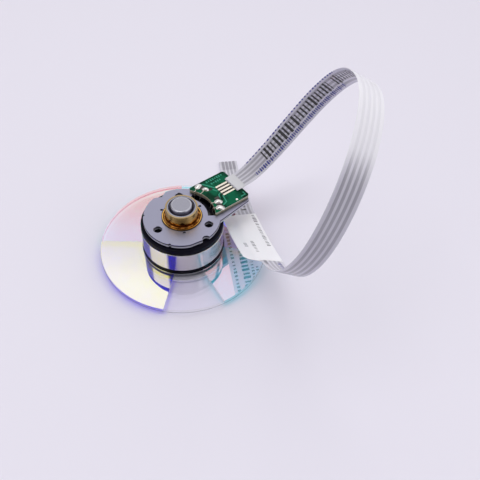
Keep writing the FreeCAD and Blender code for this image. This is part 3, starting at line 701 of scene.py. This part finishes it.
class WHEEL_OT_glass(bpy.types.Operator):
    """Six coated glass segments and the thin bonds between them"""
    bl_idname = "wheel.glass"
    bl_label = "Glass Segments"

    def execute(self, context):
        look = context.scene.wheel_glass
        gap = math.radians(0.15)
        edge = look.edge_break
        side = self.cut_edge()
        # painted reflection: what the blue and green segments mirror beside the seam along X
        painted_reflection_near_seam = {"blue": (0.66, 0.64, 0.20), "green": (0.62, 0.31, 0.48)}
        below = bare_glass("glass_lower_face", (0.97, 0.97, 0.98))
        profile = np.array([
            (GLASS_BORE, GLASS_LOW), (GLASS_RADIUS - edge, GLASS_LOW), (GLASS_RADIUS, GLASS_LOW + edge),
            (GLASS_RADIUS, GLASS_HIGH - edge), (GLASS_RADIUS - edge, GLASS_HIGH), (GLASS_BORE, GLASS_HIGH)])
        for name, first, last in SEGMENTS:
            end = math.radians(last) - gap
            piece = turned("glass_" + name, profile, math.radians(first), end, GLASS_SIDES)
            top = coating("coating_" + name, getattr(look, name + "_mirror"), getattr(look, name + "_pass"),
                          painted_reflection_near_seam.get(name))
            wear(piece, "filter_" + name, "wheel", top)
            piece.data.materials.append(below.material)
            piece.data.materials.append(side.material)
            normals = face_values(piece.data, "normal")
            centres = face_values(piece.data, "center")
            outward = np.sum(normals[:, :2] * centres[:, :2], axis=1) > 0.5 * np.hypot(*centres[:, :2].T)
            lift = normals[:, 2]
            kinds = np.where(lift > 0.9, 0, np.where((lift < -0.9) | ~outward, 1, 2)).astype(np.int32)
            piece.data.polygons.foreach_set("material_index", kinds)
        self.bonds(gap)
        return {"FINISHED"}

    def cut_edge(self):
        """Ground rim of the glass: clear, with painted shade as a dark line along its lower edge."""
        side = Finish("glass_edge", Roughness=0.15, IOR=1.5)
        z = coordinates(side.tree)[2]
        # painted shade: the rim is near black and nearly opaque below this height
        upper = z.rise(GLASS_LOW + 0.20 * MM, GLASS_LOW + 0.32 * MM)
        side.paint(side.mix(upper, (0.03, 0.03, 0.05), (0.80, 0.81, 0.88)))
        side.vary("Alpha", upper, 0.66, 0.06)
        return side

    def bonds(self, gap):
        """Thin walls of adhesive in the gaps between the segments; the one at the blue segment's last edge
        has a blue tint, painted light that stands in for the blue light cast on the table beside that seam.
        """
        glue = Finish("bond_glue", Base_Color=(0.72, 0.75, 0.80), Roughness=0.3, Alpha=0.25)
        # painted light: the blue tint stands in for light through the blue segment falling beside its seam
        painted_blue_light_glue = Finish("blue_bond_glue", Base_Color=(0.33, 0.31, 0.80), Roughness=0.3, Alpha=0.55)
        walls = []
        outer = GLASS_RADIUS - 0.02 * MM
        profile = np.array([
            (GLASS_BORE, GLASS_LOW), (outer, GLASS_LOW), (outer, GLASS_HIGH), (GLASS_BORE, GLASS_HIGH)])
        for name, first, last in SEGMENTS:
            edge = math.radians(last)
            wall = turned("bond_" + name, profile, edge - gap * 0.98, edge - gap * 0.02, GLASS_SIDES)
            if name == "blue":
                wear(wall, None, "wheel", painted_blue_light_glue)
            else:
                walls.append(wall)
        wear(joined("segment_bonds", walls), None, "wheel", glue)


class WHEEL_OT_hub(bpy.types.Operator):
    """Hub flange, clamp cap under the glass and black spacer ring"""
    bl_idname = "wheel.hub"
    bl_label = "Hub and Clamp"

    def execute(self, context):
        look = context.scene.wheel_motor
        dull = turned_metal("etched_aluminium", (0.86, 0.86, 0.90), (0.5, 0.65))
        softened("clamp_cap", 0.06, "wheel", dull)
        aluminium = turned_metal("turned_aluminium", (0.80, 0.80, 0.82), (0.2, 0.35))
        # the flange's colour turns near black above a thin bright band just over the glass
        z = coordinates(aluminium.tree)[2]
        over = z.rise(GLASS_HIGH + 0.12 * MM, GLASS_HIGH + 0.18 * MM)
        aluminium.paint(aluminium.mix(over, aluminium.colour(), (0.006, 0.006, 0.012)))
        softened("hub_flange", 0.05, "wheel", aluminium)
        black = moulded("spacer_black", look.black_colour, (0.3, 0.4), gloss=0.06)
        low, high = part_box("spacer_ring")
        bore = high.x - 1.5 * MM
        seat = high.x - 0.02 * MM
        outer = high.x + 0.06 * MM
        lip = high.z + 0.32 * MM
        corners = [(bore, low.z), (outer, low.z), (outer, lip), (seat, lip), (seat, high.z), (bore, high.z)]
        radii = [0, 0.10, 0.03, 0, 0, 0]
        lathed("spacer_with_lip", corners, radii, "spacer_ring", "wheel", black)
        return {"FINISHED"}


class WHEEL_OT_rotor(bpy.types.Operator):
    """Drawn rotor can with rounded edges, and the black ring at its mouth"""
    bl_idname = "wheel.rotor"
    bl_label = "Rotor"

    def execute(self, context):
        look = context.scene.wheel_motor
        low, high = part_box("rotor_can")
        wall = high.x - 0.8 * MM
        floor = low.z + 0.7 * MM
        hole = 1.6 * MM
        corners = [
            (hole, low.z), (high.x, low.z), (high.x, high.z), (wall, high.z), (wall, floor), (hole, floor)]
        radii = [0, 0.1, 0.08, 0.05, 0.3, 0]
        steel = turned_metal("drawn_steel", look.can_colour, (0.05, 0.13), 0.0001, 0.002, 0.15)
        lathed("rotor_cup", corners, radii, "rotor_can", "wheel", steel)
        low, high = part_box("end_ring")
        bore = 8.3 * MM
        outside = high.x - 0.15 * MM
        corners = [(bore, low.z), (outside, low.z), (outside, high.z), (bore, high.z)]
        radii = [0.05, 0.05, 0.36, 0.15]
        black = moulded("ring_black", look.black_colour, (0.26, 0.38), 12000.0, 0.008, 0.06)
        lathed("mouth_ring", corners, radii, "end_ring", "wheel", black, 8)
        return {"FINISHED"}


class WHEEL_OT_plate(bpy.types.Operator):
    """Stamped base plate; its cut edge has a dark torn line under the top over a bright sheared band"""
    bl_idname = "wheel.plate"
    bl_label = "Base Plate"

    def execute(self, context):
        look = context.scene.wheel_motor
        steel = metal("stamped_steel", look.plate_colour, (0.36, 0.48), 7000.0, 0.006, 0.05, 300.0, 0.35)
        z = coordinates(steel.tree)[2]
        above = z.rise(PLATE_LOW + 0.02 * MM, PLATE_LOW + 0.06 * MM)
        torn = z.fall(PLATE_HIGH - 0.16 * MM, PLATE_HIGH - 0.10 * MM) * above
        sheared = z.fall(PLATE_HIGH - 0.52 * MM, PLATE_HIGH - 0.44 * MM) * above
        dark = steel.mix(torn, steel.colour(), (0.04, 0.04, 0.055))
        steel.paint(steel.mix(sheared, dark, (0.50, 0.50, 0.58)))
        steel.vary("Metallic", sheared, 1.0, 0.3)
        softened("base_plate", 0.09, "root", steel, 3)
        return {"FINISHED"}


class WHEEL_OT_boss(bpy.types.Operator):
    """Brass bearing housing with its burred foot, and the steel cap in its mouth"""
    bl_idname = "wheel.boss"
    bl_label = "Bearing Boss"

    def execute(self, context):
        look = context.scene.wheel_motor
        low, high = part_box("bearing_housing")
        seat = 3.38 * MM
        bore = 2.4 * MM
        neck = 3.3 * MM
        shank = 3.6 * MM
        foot = high.x if high.x < 4.9 * MM else 4.75 * MM
        flange = PLATE_HIGH + 0.27 * MM
        step = BOSS_HIGH - 1.46 * MM
        corners = [
            (bore, low.z), (neck, low.z), (neck, PLATE_LOW), (shank, PLATE_LOW), (shank, PLATE_HIGH),
            (foot, PLATE_HIGH), (foot, flange), (BEAD_RADIUS, flange),
            (HOLLOW_RADIUS, PLATE_HIGH + 0.10 * MM), (BOSS_RADIUS, PLATE_HIGH + 0.13 * MM),
            (BOSS_RADIUS, BOSS_HIGH), (seat, BOSS_HIGH), (seat, step), (bore, step)]
        radii = [0, 0.1, 0, 0, 0, 0.02, 0.12, 0.12, 0.08, 0.22, 0.10, 0.04, 0, 0]

        def burr(angles, height):
            """Uneven foot: three waves of different length, only near the plate."""
            near = np.exp(-((height - PLATE_HIGH - 0.12 * MM) / (0.14 * MM)) ** 2)
            waves = np.sin(5 * angles + 1.3) + 0.6 * np.sin(11 * angles) + 0.4 * np.sin(23 * angles + 0.6)
            return near * waves * 0.035 * MM

        brass = self.brass(look)
        lathed("boss_brass", corners, radii, "bearing_housing", "root", brass, 6, wobble=burr)
        rim = BOSS_HIGH - 0.06 * MM
        groove = rim - 0.32 * MM
        groove_in = 2.80 * MM
        groove_out = 2.93 * MM
        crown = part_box("housing_cap")[1].z
        corners = [
            (0, step), (seat, step), (seat, rim), (groove_out + 0.13 * MM, rim), (groove_out, groove),
            (groove_in, groove), (DOME_RADIUS, crown - 0.01 * MM), (0, crown)]
        radii = [0, 0, 0.06, 0.05, 0.04, 0.05, 0.22, 0]
        steel = self.drawn_cap(look, crown)
        lathed("boss_cap", corners, radii, "housing_cap", "root", steel, 7, closed=False)
        return {"FINISHED"}

    def drawn_cap(self, look, crown):
        """Pressed steel: the steep wall has painted shade, and the edge over it has a painted highlight."""
        steel = metal("pressed_steel", look.cap_colour, (0.16, 0.26), 8000.0, 0.004, 0.06, 400.0, 0.2)
        reach, z = round_axis(steel.tree)
        edge = reach.rise(DOME_RADIUS - 0.41 * MM, DOME_RADIUS - 0.12 * MM)
        high = z.rise(crown - 0.34 * MM, crown - 0.06 * MM)
        # painted shade on the steep wall, and a painted highlight on the edge above it
        wall = z.fall(crown - 0.44 * MM, crown - 0.06 * MM) * reach.fall(2.86 * MM, 2.98 * MM)
        painted_highlight_edge = steel.mix(edge * high, steel.colour(), (0.42, 0.42, 0.48))
        steel.paint(steel.mix(wall, painted_highlight_edge, (0.075, 0.072, 0.10)))
        return steel

    def brass(self, look):
        """Turned brass: a ragged brown film at its foot, amber in the flange's hollow, a bright bead, and
        painted shade on the foot outside the bead, next to the plate.
        """
        finish = Finish("stained_brass", Metallic=1.0)
        height, streak = finish.group(tool_lines, Pitch=0.00005)
        reach, z = round_axis(finish.tree)
        lift = (z - PLATE_HIGH) / MM
        stain = (finish.noise(750.0, 4.0) - lift * 0.17).rise(0.24, 0.38)
        hollow = reach.between(BOSS_RADIUS + 0.04 * MM, BEAD_RADIUS - 0.04 * MM, (0.12 * MM, 0.12 * MM))
        bead = reach.rise(BEAD_RADIUS - 0.12 * MM, BEAD_RADIUS - 0.02 * MM)
        # painted shade: the foot outside the bead turns near black next to the plate
        outside = reach.rise(BEAD_RADIUS + 0.12 * MM, BEAD_RADIUS + 0.24 * MM)
        top = z.rise(BOSS_HIGH - 0.14 * MM, BOSS_HIGH - 0.05 * MM)
        tan = tuple(part * share for part, share in zip(look.brass_colour, (1.0, 0.82, 0.56)))
        amber = finish.mix(finish.noise(1500.0).rise(0.42, 0.58), look.brass_amber, look.brass_stain)
        worn = finish.mix(finish.noise(600.0, 2.0), look.brass_colour, tan)
        colour = finish.mix(lift.fall(0.3, 2.6), look.brass_colour, tan)
        layers = (
            (stain, look.brass_stain), (hollow, amber), (bead, worn), (top, (0.40, 0.30, 0.17)),
            (outside, (0.07, 0.04, 0.018)))
        for mask, layer in layers:
            colour = finish.mix(mask, colour, layer)
        finish.paint(colour)
        finish.vary("Roughness", streak, 0.16, 0.34)
        finish.bump(height, 0.3, 0.004)
        return finish


class WHEEL_OT_board(bpy.types.Operator):
    """Circuit board with its lacquer, traces, cut edge, via and glue film"""
    bl_idname = "wheel.board"
    bl_label = "Circuit Board"

    def execute(self, context):
        look = context.scene.wheel_board
        board = softened("circuit_board", 0.04, "root", self.lacquer(look))
        board.data.materials.append(self.core(look).material)
        upright = np.abs(face_values(board.data, "normal")[:, 2]) < 0.5
        board.data.polygons.foreach_set("material_index", upright.astype(np.int32))
        coat("board_adhesive", moulded("glue_film", (0.40, 0.38, 0.30), (0.4, 0.6)))
        self.traces(look)
        self.via(look)
        self.flux()
        return {"FINISHED"}

    def lacquer(self, look):
        """Green lacquer with darker pools and an uneven gloss."""
        finish = Finish("green_lacquer", Specular_IOR_Level=0.06)
        height, smudge = finish.group(fine_grain, Scale=5000.0, Smudge_Scale=500.0)
        pools = finish.noise(300.0).rise(0.40, 0.60)
        finish.paint(finish.mix(pools, shade(look.resist_colour, 0.30), look.resist_colour))
        finish.vary("Roughness", smudge, 0.28, 0.42)
        finish.bump(height, 0.25, 0.006)
        return finish

    def core(self, look):
        """Cut edge: a pale line under the lacquer over the darker glass weave."""
        finish = Finish("board_core", Roughness=0.6)
        z = coordinates(finish.tree)[2]
        upper = z.rise(BOARD_HIGH - 0.26 * MM, BOARD_HIGH - 0.16 * MM)
        weave = finish.noise(2500.0, stretch=(1, 1, 4))
        lower = finish.mix(weave, shade(look.core_colour, 0.35), look.core_colour)
        finish.paint(finish.mix(upper, lower, (0.60, 0.54, 0.52)))
        finish.bump(weave, 0.3, 0.01)
        return finish

    def flux(self):
        """Dark flux left between the bared conductors, and dark patches beside the solder that are flux and
        also painted shade next to the joints.
        """
        burnt = Finish("burnt_flux", Roughness=0.3)
        cloud = burnt.noise(1800.0)
        burnt.paint(burnt.mix(cloud, (0.004, 0.004, 0.003), (0.034, 0.026, 0.02)))
        burnt.bump(cloud, 0.3, 0.02)
        films = [
            flat_bar(f"flux_{across}", [(along, across) for along in (11.3, 12.5, 13.6, 14.7)], 0.62, 0.02)
            for across in (-0.5, 0.5, 1.5)]
        # beside the solder: flux, and painted shade next to the joints
        for along, across, reach in ((8.7, -3.0, 2.1), (9.5, -1.1, 1.2), (8.7, 4.0, 1.5), (9.9, 2.4, 0.8)):
            line = [(along + step, across) for step in (-0.6, 0, 0.6)]
            films.append(flat_bar(f"flux_pool_{across}", line, reach, 0.012))
        wear(joined("flux_films", films), None, "root", burnt)

    def traces(self, look):
        """Copper tracks under the lacquer, each a flat bar along a bent line, and two rows of plain pads."""
        lacquer = Finish(
            "traced_lacquer", Base_Color=look.trace_colour, Roughness=0.32, Specular_IOR_Level=0.1)
        lacquer.bump(lacquer.group(fine_grain, Scale=5000.0)[0], 0.2, 0.004)
        bars = []
        for row, first, last in ((4.85, 10.7, 15.4), (3.75, 11.4, 14.4)):
            for index, along in enumerate(np.arange(first, last, 0.62)):
                half = (0.30, 0.20, 0.34)[index % 3]
                line = [(along, row + side) for side in (-half, 0, half)]
                bars.append(flat_bar(f"pad_{row}_{index}", line, 0.38, 0.015))
        lines = (
            ((8.3, 4.9), (9.4, 4.9), (10.3, 3.6), (11.2, 2.0)),
            ((9.3, 3.0), (10.2, 2.4), (10.9, 1.0), (11.2, 1.0)),
            ((9.2, -2.0), (10.0, -1.5), (10.5, -0.3), (11.2, 0.0)),
            ((8.4, -3.9), (10.6, -3.2), (11.0, -1.6), (11.2, -1.0)),
            ((14.4, -3.9), (15.7, -3.9), (15.7, -2.9)))
        bars += [flat_bar(f"trace_{index}", line, 0.34, 0.012) for index, line in enumerate(lines)]
        wear(joined("board_traces", bars), None, "root", lacquer)

    def via(self, look):
        """A tinned via beside the traces."""
        tin = metal("via_tin", look.tin_colour, (0.12, 0.25), 6000.0, 0.01)
        corners = np.array([(0.0, 0.0), (0.30, 0.0), (0.30, 0.07), (0.0, 0.10)]) * MM
        profile = rounded(corners, [0, 0, 0.04, 0], 4, closed=False)
        via = turned("board_via", profile, sides=40, closed=False)
        via.data.transform(Matrix.Translation(on_board([(13.0, -4.1)])[0]))
        wear(via, None, "root", tin)


class WHEEL_OT_solder(bpy.types.Operator):
    """Solder joints as wetted domes, the winding ends and the bared conductors"""
    bl_idname = "wheel.solder"
    bl_label = "Solder and Wires"

    def execute(self, context):
        look = context.scene.wheel_board
        tin = metal("solder_tin", look.tin_colour, (0.26, 0.42), 2500.0, 0.03, 0.1, 900.0, 0.4)
        # along and across the arm, radius in millimetres, and where the edge's waves begin
        places = (
            (8.2, 4.9, 0.84, -0.5), (9.05, 3.05, 0.72, 1.9), (9.05, -2.05, 0.86, 1.3), (8.2, -3.9, 0.94, 1.8))
        domes = [self.dome(f"dome_{index}", *spot) for index, spot in enumerate(places)]
        wear(joined("solder_domes", domes), "solder_joints", "root", tin)
        coat("phase_wires", metal("tinned_wire", (0.66, 0.62, 0.54), (0.2, 0.35), 4000.0))
        bared = metal("tinned_copper", (0.82, 0.76, 0.66), (0.1, 0.25), 3000.0, 0.01, 0.1, 700.0)
        softened("soldered_conductors", 0.03, "root", bared)
        return {"FINISHED"}

    def dome(self, name, along, across, radius, wave):
        """A drop of solder: height h (1 - d^2)^1.1 over a foot whose edge waves, with a thin skirt."""
        share = np.linspace(0, 1, 15)[None, :]
        angles = np.linspace(0, FULL_TURN, 40, endpoint=False)[:, None]
        edge = 1 + 0.17 * np.sin(2 * angles + wave) + 0.05 * np.sin(3 * angles + 2 * wave)
        reach = radius * MM * edge * share
        uneven = 0.03 * MM * (1 - share) * np.sin(3 * angles + wave) * share
        height = 0.42 * MM * (1 - share ** 2) ** 1.1 + uneven
        base = np.full_like(reach[:, :1], -0.01 * MM)
        reach = np.hstack([reach, reach[:, -1:], 0 * base])
        height = np.hstack([height + 0.01 * MM, base, base])
        centre = on_board([(along, across)])[0]
        points = centre + np.stack([reach * np.cos(angles), reach * np.sin(angles), height], -1)
        return surface(name, points, wrap_u=True, smooth=50)


def spline_points(control, name):
    """Points of a smooth quadratic line through the middles of a route's runs."""
    curve = bpy.data.curves.new(name, "CURVE")
    curve.dimensions = "3D"
    curve.resolution_u = 24
    line = curve.splines.new("NURBS")
    line.points.add(len(control) - 1)
    line.points.foreach_set("co", np.hstack([control, np.ones((len(control), 1))]).ravel())
    line.order_u = 3
    line.use_endpoint_u = True
    thing = linked(name, curve)
    bpy.context.view_layer.update()
    mesh = bpy.data.meshes.new_from_object(thing)
    points = np.zeros(len(mesh.vertices) * 3, np.float32)
    mesh.vertices.foreach_get("co", points)
    bpy.data.objects.remove(thing)
    bpy.data.meshes.remove(mesh)
    return points.reshape(-1, 3).astype(float)


def unit(rows):
    """Directions of length 1."""
    return rows / np.linalg.norm(rows, axis=1, keepdims=True)


class CablePath:
    """The cable's middle line with its directions: forward t, across w, and up n = t x w."""

    def __init__(self):
        route = np.array(CABLE_ROUTE) * MM
        self.line = spline_points(route, "cable_line")
        beside = spline_points(route + unit(np.array(CABLE_ACROSS)) * MM, "cable_beside")
        self.reach = np.concatenate([[0], np.cumsum(np.linalg.norm(np.diff(self.line, axis=0), axis=1))])
        self.forward = unit(np.gradient(self.line, self.reach, axis=0))
        side = beside - self.line
        side -= self.forward * np.sum(side * self.forward, axis=1, keepdims=True)
        self.across = unit(side)
        self.length = self.reach[-1]

    def at(self, reach):
        """Middle line, across and up directions at distances along the cable."""
        line, forward, across = (
            np.stack([np.interp(reach, self.reach, part[:, axis]) for axis in range(3)], -1)
            for part in (self.line, self.forward, self.across))
        across = unit(across)
        return line, across, np.cross(unit(forward), across)

    def sweep(self, name, reach, side, lift, smooth=30.0, faces=None):
        """A closed section carried along the line: point = line + side * across + lift * up.

        side and lift hold one section, or one row for each distance. The UV map holds the distance
        across and the distance along, both in widths of the cable, and the attribute says which
        face it is.
        """
        whole = (len(reach), side.shape[-1])
        side = np.broadcast_to(side, whole)
        lift = np.broadcast_to(lift, whole)
        line, across, up = self.at(reach)
        points = line[:, None] + across[:, None] * side[..., None] + up[:, None] * lift[..., None]
        width = bpy.context.scene.wheel_cable.width
        uv = np.stack([side / width + 0.5, np.broadcast_to(reach[:, None], whole) / width], -1)
        facing = ("face_side", np.sign(lift) if faces is None else faces)
        return surface(name, points, wrap_v=True, caps=True, uv=uv, smooth=smooth, attribute=facing)


def film_section(look, count=61):
    """Half width and half height of the cable: film that swells over each of four conductors."""
    side = np.linspace(-1, 1, count) * look.width / 2
    spots = (np.arange(4) - 1.5) * look.pitch
    swell = np.exp(-((side[:, None] - spots) / (0.27 * MM)) ** 4).max(axis=1)
    edge = np.sqrt(np.clip(1 - (np.abs(side) / (look.width / 2)) ** 40, 0, 1))
    lift = (0.085 * MM + 0.05 * MM * swell) * edge + 0.012 * MM
    return np.concatenate([side, side[::-1]]), np.concatenate([lift, -lift[::-1]])


class WHEEL_OT_cable(bpy.types.Operator):
    """Flat cable in its free loop, with the tape over its soldered end and its label"""
    bl_idname = "wheel.cable"
    bl_label = "Flat Cable"

    def execute(self, context):
        look = context.scene.wheel_cable
        path = CablePath()
        end = path.length
        half = look.width / 2
        cable = path.sweep("flat_cable", path.reach, *film_section(look))
        wear(cable, "ribbon_cable", "root", self.film(look))
        tape = self.slab(path, "joint_tape_film", 0.2 * MM, 2.6 * MM, half + 0.05 * MM, 0.13 * MM, 0.21 * MM)
        clear = Finish("tape_gloss", Base_Color=(0.60, 0.60, 0.64), Roughness=0.2, Coat_Weight=0.5)
        clear.bump(clear.group(fine_grain, Scale=3000.0, Smudge_Scale=700.0)[0], 0.15, 0.01)
        wear(tape, "joint_tape", "root", clear)
        stiff = self.slab(path, "end_stiffener_film", end - 6.0 * MM, end, half, -0.34 * MM, -0.10 * MM)
        white = moulded("stiffener_film", (0.66, 0.68, 0.78), (0.2, 0.3))
        wear(stiff, "end_stiffener", "root", white)
        stripes = [
            self.slab(path, f"contact_{index}", end - 3.4 * MM, end - 0.15 * MM, 0.34 * MM, 0.12 * MM,
                      0.185 * MM, (index - 1.5) * look.pitch)
            for index in range(4)]
        plated = metal("plated_contacts", (0.33, 0.32, 0.37), (0.4, 0.5), 4000.0, 0.002, 0.03)
        wear(joined("contact_stripes", stripes), "end_contacts", "root", plated)
        label = self.label(path, look)
        return {"FINISHED"}

    def slab(self, path, name, first, last, half, low, high, middle=0.0):
        """A flat strip on the cable, with its upper edges broken."""
        ease = min(0.04 * MM, (high - low) * 0.4)
        side = np.array([-half, half, half, half - ease, -half + ease, -half]) + middle
        lift = np.array([low, low, high - ease, high, high, high - ease])
        return path.sweep(name, np.linspace(first, last, 24), side, lift)

    def film(self, look):
        """White film, darker over the conductors, with rows of plain printed bars on one face."""
        finish = Finish(
            "cable_film", Coat_Weight=0.35, Coat_Roughness=0.15, Subsurface_Weight=0.5,
            Subsurface_Radius=(1.0, 1.0, 1.0), Subsurface_Scale=0.25 * MM)
        across, along, face = cable_place(finish.tree, look)
        # a conductor's middle is at each whole millimetre from 1 to 4 across
        near = abs((across + 0.5).math("FRACT") - 0.5)
        band = near.fall(0.22, 0.34) * (abs(across - look.width / MM / 2) < 2.0)
        cloud = finish.noise(240.0)
        film = finish.mix(cloud, shade(look.film_colour, 0.95), look.film_colour)
        # the conductors show less and the film is paler along a stretch past the top of the loop
        pale = along.rise(48.0, 56.0) * along.fall(75.0, 82.0)
        band = band * (1.0 - pale * 0.86)
        film = finish.mix(pale, film, (0.80, 0.79, 0.85))
        colour = finish.mix(band, film, look.conductor_colour)
        face = face > 0.5
        black = (face, look.ink_colour)
        blue = (face, look.blue_ink)
        finish.paint(printed(finish, across, along, colour, (
            (11.0, 37.5, 2.9, 1.45, 1.2, *black), (39.0, 50.5, 2.9, 1.40, 1.1, *black),
            (6.0, 43.0, 4.85, 0.20, 1.1, *blue), (6.5, 41.0, 0.95, 0.55, 0.62, *blue),
            (114.0, 121.0, 1.2, 0.5, 0.9, *blue), (119.0, 122.0, 4.2, 0.4, 0.7, *black),
            (148.0, 156.0, 2.4, 0.9, 1.5, *black))))
        finish.vary("Roughness", cloud, 0.30, 0.42)
        finish.bump(finish.noise(2500.0, 2.0), 0.12, 0.01)
        return finish

    def label(self, path, look):
        """White label folded round the cable; it stands out past one edge, with two round corners.

        Half its thickness falls from the cable's to half the film's by the step 3t^2 - 2t^3, and the
        part that stands out curls up by the square of its distance.
        """
        first = 122.0 * MM
        length = 24.5 * MM
        corner = 1.4 * MM
        free = 6.1 * MM
        half = look.width / 2
        film = 0.09 * MM
        lift = 0.16 * MM
        start = first + corner * (1 - np.cos(np.linspace(0, math.pi / 2, 9)))
        reach = np.concatenate([start, np.linspace(start[-1], first + length, 40)[1:]])
        short = np.clip(corner - (reach - first), 0, corner)
        inset = corner - np.sqrt(np.clip(corner ** 2 - short ** 2, 0, None))
        share = np.linspace(0, 1, 30)
        fold = -half - film - 0.02 * MM
        side = fold + (free - inset - fold)[:, None] * share
        over = np.clip((side - half) / (0.9 * MM), 0, 1)
        body = lift + (film / 2 - lift) * over * over * (3 - 2 * over)
        ends = np.sqrt(np.clip(1 - ((share - 0.5) * 2) ** 60, 0.02, 1))
        thick = (body + film / 2) * ends
        curl = 0.25 * MM * np.clip((side - half) / (free - half), 0, 1) ** 2
        label = path.sweep(
            "cable_label_flag", reach, np.hstack([side, side[:, ::-1]]),
            np.hstack([curl + thick, (curl - thick)[:, ::-1]]), smooth=40,
            faces=np.hstack([np.ones_like(side), -np.ones_like(side)]))
        return wear(label, "cable_label", "root", self.paper(look))

    def paper(self, look):
        """White paper that lets some light through, with rows of plain printed bars on both faces."""
        finish = Finish(
            "label_paper", Roughness=0.45, Subsurface_Weight=1.0, Subsurface_Radius=(1.0, 1.0, 1.0),
            Subsurface_Scale=1.5 * MM)
        across, along, face = cable_place(finish.tree, look)
        colour = finish.mix(finish.noise(300.0), shade(look.label_colour, 0.96), look.label_colour)
        upper = face > 0.0
        grey = (upper, (0.22, 0.21, 0.24))
        black = (1.0 - upper, look.ink_colour)
        finish.paint(printed(finish, across, along, colour, (
            (130.5, 146.0, 0.9, 0.45, 0.75, *grey), (127.0, 133.5, 4.4, 0.42, 0.8, *grey),
            (130.0, 132.4, 6.2, 0.42, 0.8, *grey), (124.0, 146.0, 7.4, 0.45, 0.95, *black),
            (130.0, 142.0, 4.8, 1.0, 1.0, *black), (131.0, 137.0, 3.0, 0.4, 0.8, *black),
            (131.0, 136.0, 1.9, 0.4, 0.8, *black))))
        finish.bump(finish.noise(4000.0), 0.1, 0.01)
        return finish


def cable_place(tree, look):
    """Millimetres across and along the cable, from its UV map, and which face it is."""
    source = add(tree, "UVMap")
    source.uv_map = "UVMap"
    parts = add(tree, "SeparateXYZ", source.outputs[0])
    face = add(tree, "Attribute")
    face.attribute_name = "face_side"
    width = look.width / MM
    return Value(parts.outputs[0]) * width, Value(parts.outputs[1]) * width, Value(face.outputs["Fac"])


def printed(finish, across, along, colour, rows):
    """Rows of plain bars over a colour: one bar in each step, of a width and height picked for it.

    A row is its first and last distance, middle and half height across, step, face and ink.
    """
    for first, last, middle, half, step, face, ink in rows:
        steps = along / step
        pick = finish.tree.nodes.new("ShaderNodeTexWhiteNoise")
        pick.noise_dimensions = "1D"
        plug(steps.math("FLOOR"), pick.inputs["W"])
        chance = Value(pick.outputs["Value"])
        bar = steps.math("FRACT") < chance * 0.35 + 0.32
        level = abs(across - middle) < (chance * 0.3 + 0.7) * half
        within = (along > first) * (along < last)
        colour = finish.mix(bar * level * within * face, colour, ink)
    return colour


class WHEEL_OT_inside(bpy.types.Operator):
    """Finishes of the pieces inside the motor: core, coils, magnet, shaft and bearing"""
    bl_idname = "wheel.inside"
    bl_label = "Inner Works"

    def execute(self, context):
        black = moulded("cover_black", (0.010, 0.010, 0.016), (0.12, 0.24), 4000.0, 0.02)
        for node in ("winding_cover", "lower_insulator", "upper_insulator"):
            coat(node, black)
        coat("stator_core", metal("laminated_steel", (0.38, 0.38, 0.40), (0.35, 0.5), 3000.0))
        coat("stator_coils", metal("coil_copper", (0.72, 0.38, 0.18), (0.2, 0.35), 5000.0, 0.03))
        coat("ring_magnet", moulded("magnet_grey", (0.06, 0.06, 0.065), (0.4, 0.6), 4000.0, 0.02))
        coat("sleeve_bearing", metal("sintered_bronze", (0.52, 0.33, 0.16), (0.4, 0.55), 9000.0, 0.03))
        coat("thrust_pad", moulded("pad_plastic", (0.72, 0.70, 0.60), (0.3, 0.45)))
        coat("retaining_washer", moulded("washer_plastic", (0.75, 0.73, 0.66), (0.3, 0.45)))
        coat("motor_shaft", turned_metal("ground_steel", (0.74, 0.74, 0.75), (0.08, 0.16), 0.00003, 0.001))
        return {"FINISHED"}


class WHEEL_PT_panel(bpy.types.Panel):
    """Lists the pieces and their settings"""
    bl_idname = "WHEEL_PT_panel"
    bl_label = "Colour Wheel"
    bl_space_type = "VIEW_3D"
    bl_region_type = "UI"
    bl_category = "Colour Wheel"

    def draw(self, context):
        for operator in OPERATORS:
            self.layout.operator(operator.bl_idname)
        for name, group in GROUPS:
            self.layout.label(text=group.__doc__)
            for field in group.__annotations__:
                self.layout.prop(getattr(context.scene, name), field)


GROUPS = (
    ("wheel_stage", StageSettings), ("wheel_glass", GlassSettings), ("wheel_motor", MotorSettings),
    ("wheel_board", BoardSettings), ("wheel_cable", CableSettings),
)
OPERATORS = (
    WHEEL_OT_stage, WHEEL_OT_cable, WHEEL_OT_glass, WHEEL_OT_hub, WHEEL_OT_rotor, WHEEL_OT_plate,
    WHEEL_OT_boss, WHEEL_OT_board, WHEEL_OT_solder, WHEEL_OT_inside,
)


def register():
    for name, group in GROUPS:
        bpy.utils.register_class(group)
        setattr(bpy.types.Scene, name, PointerProperty(type=group))
    for operator in OPERATORS:
        bpy.utils.register_class(operator)
    bpy.utils.register_class(WHEEL_PT_panel)


def unregister():
    bpy.utils.unregister_class(WHEEL_PT_panel)
    for operator in reversed(OPERATORS):
        bpy.utils.unregister_class(operator)
    for name, group in reversed(GROUPS):
        delattr(bpy.types.Scene, name)
        bpy.utils.unregister_class(group)


def main():
    register()
    for operator in OPERATORS:
        family, name = operator.bl_idname.split(".")
        getattr(getattr(bpy.ops, family), name)()


if __name__ == "__main__":
    main()
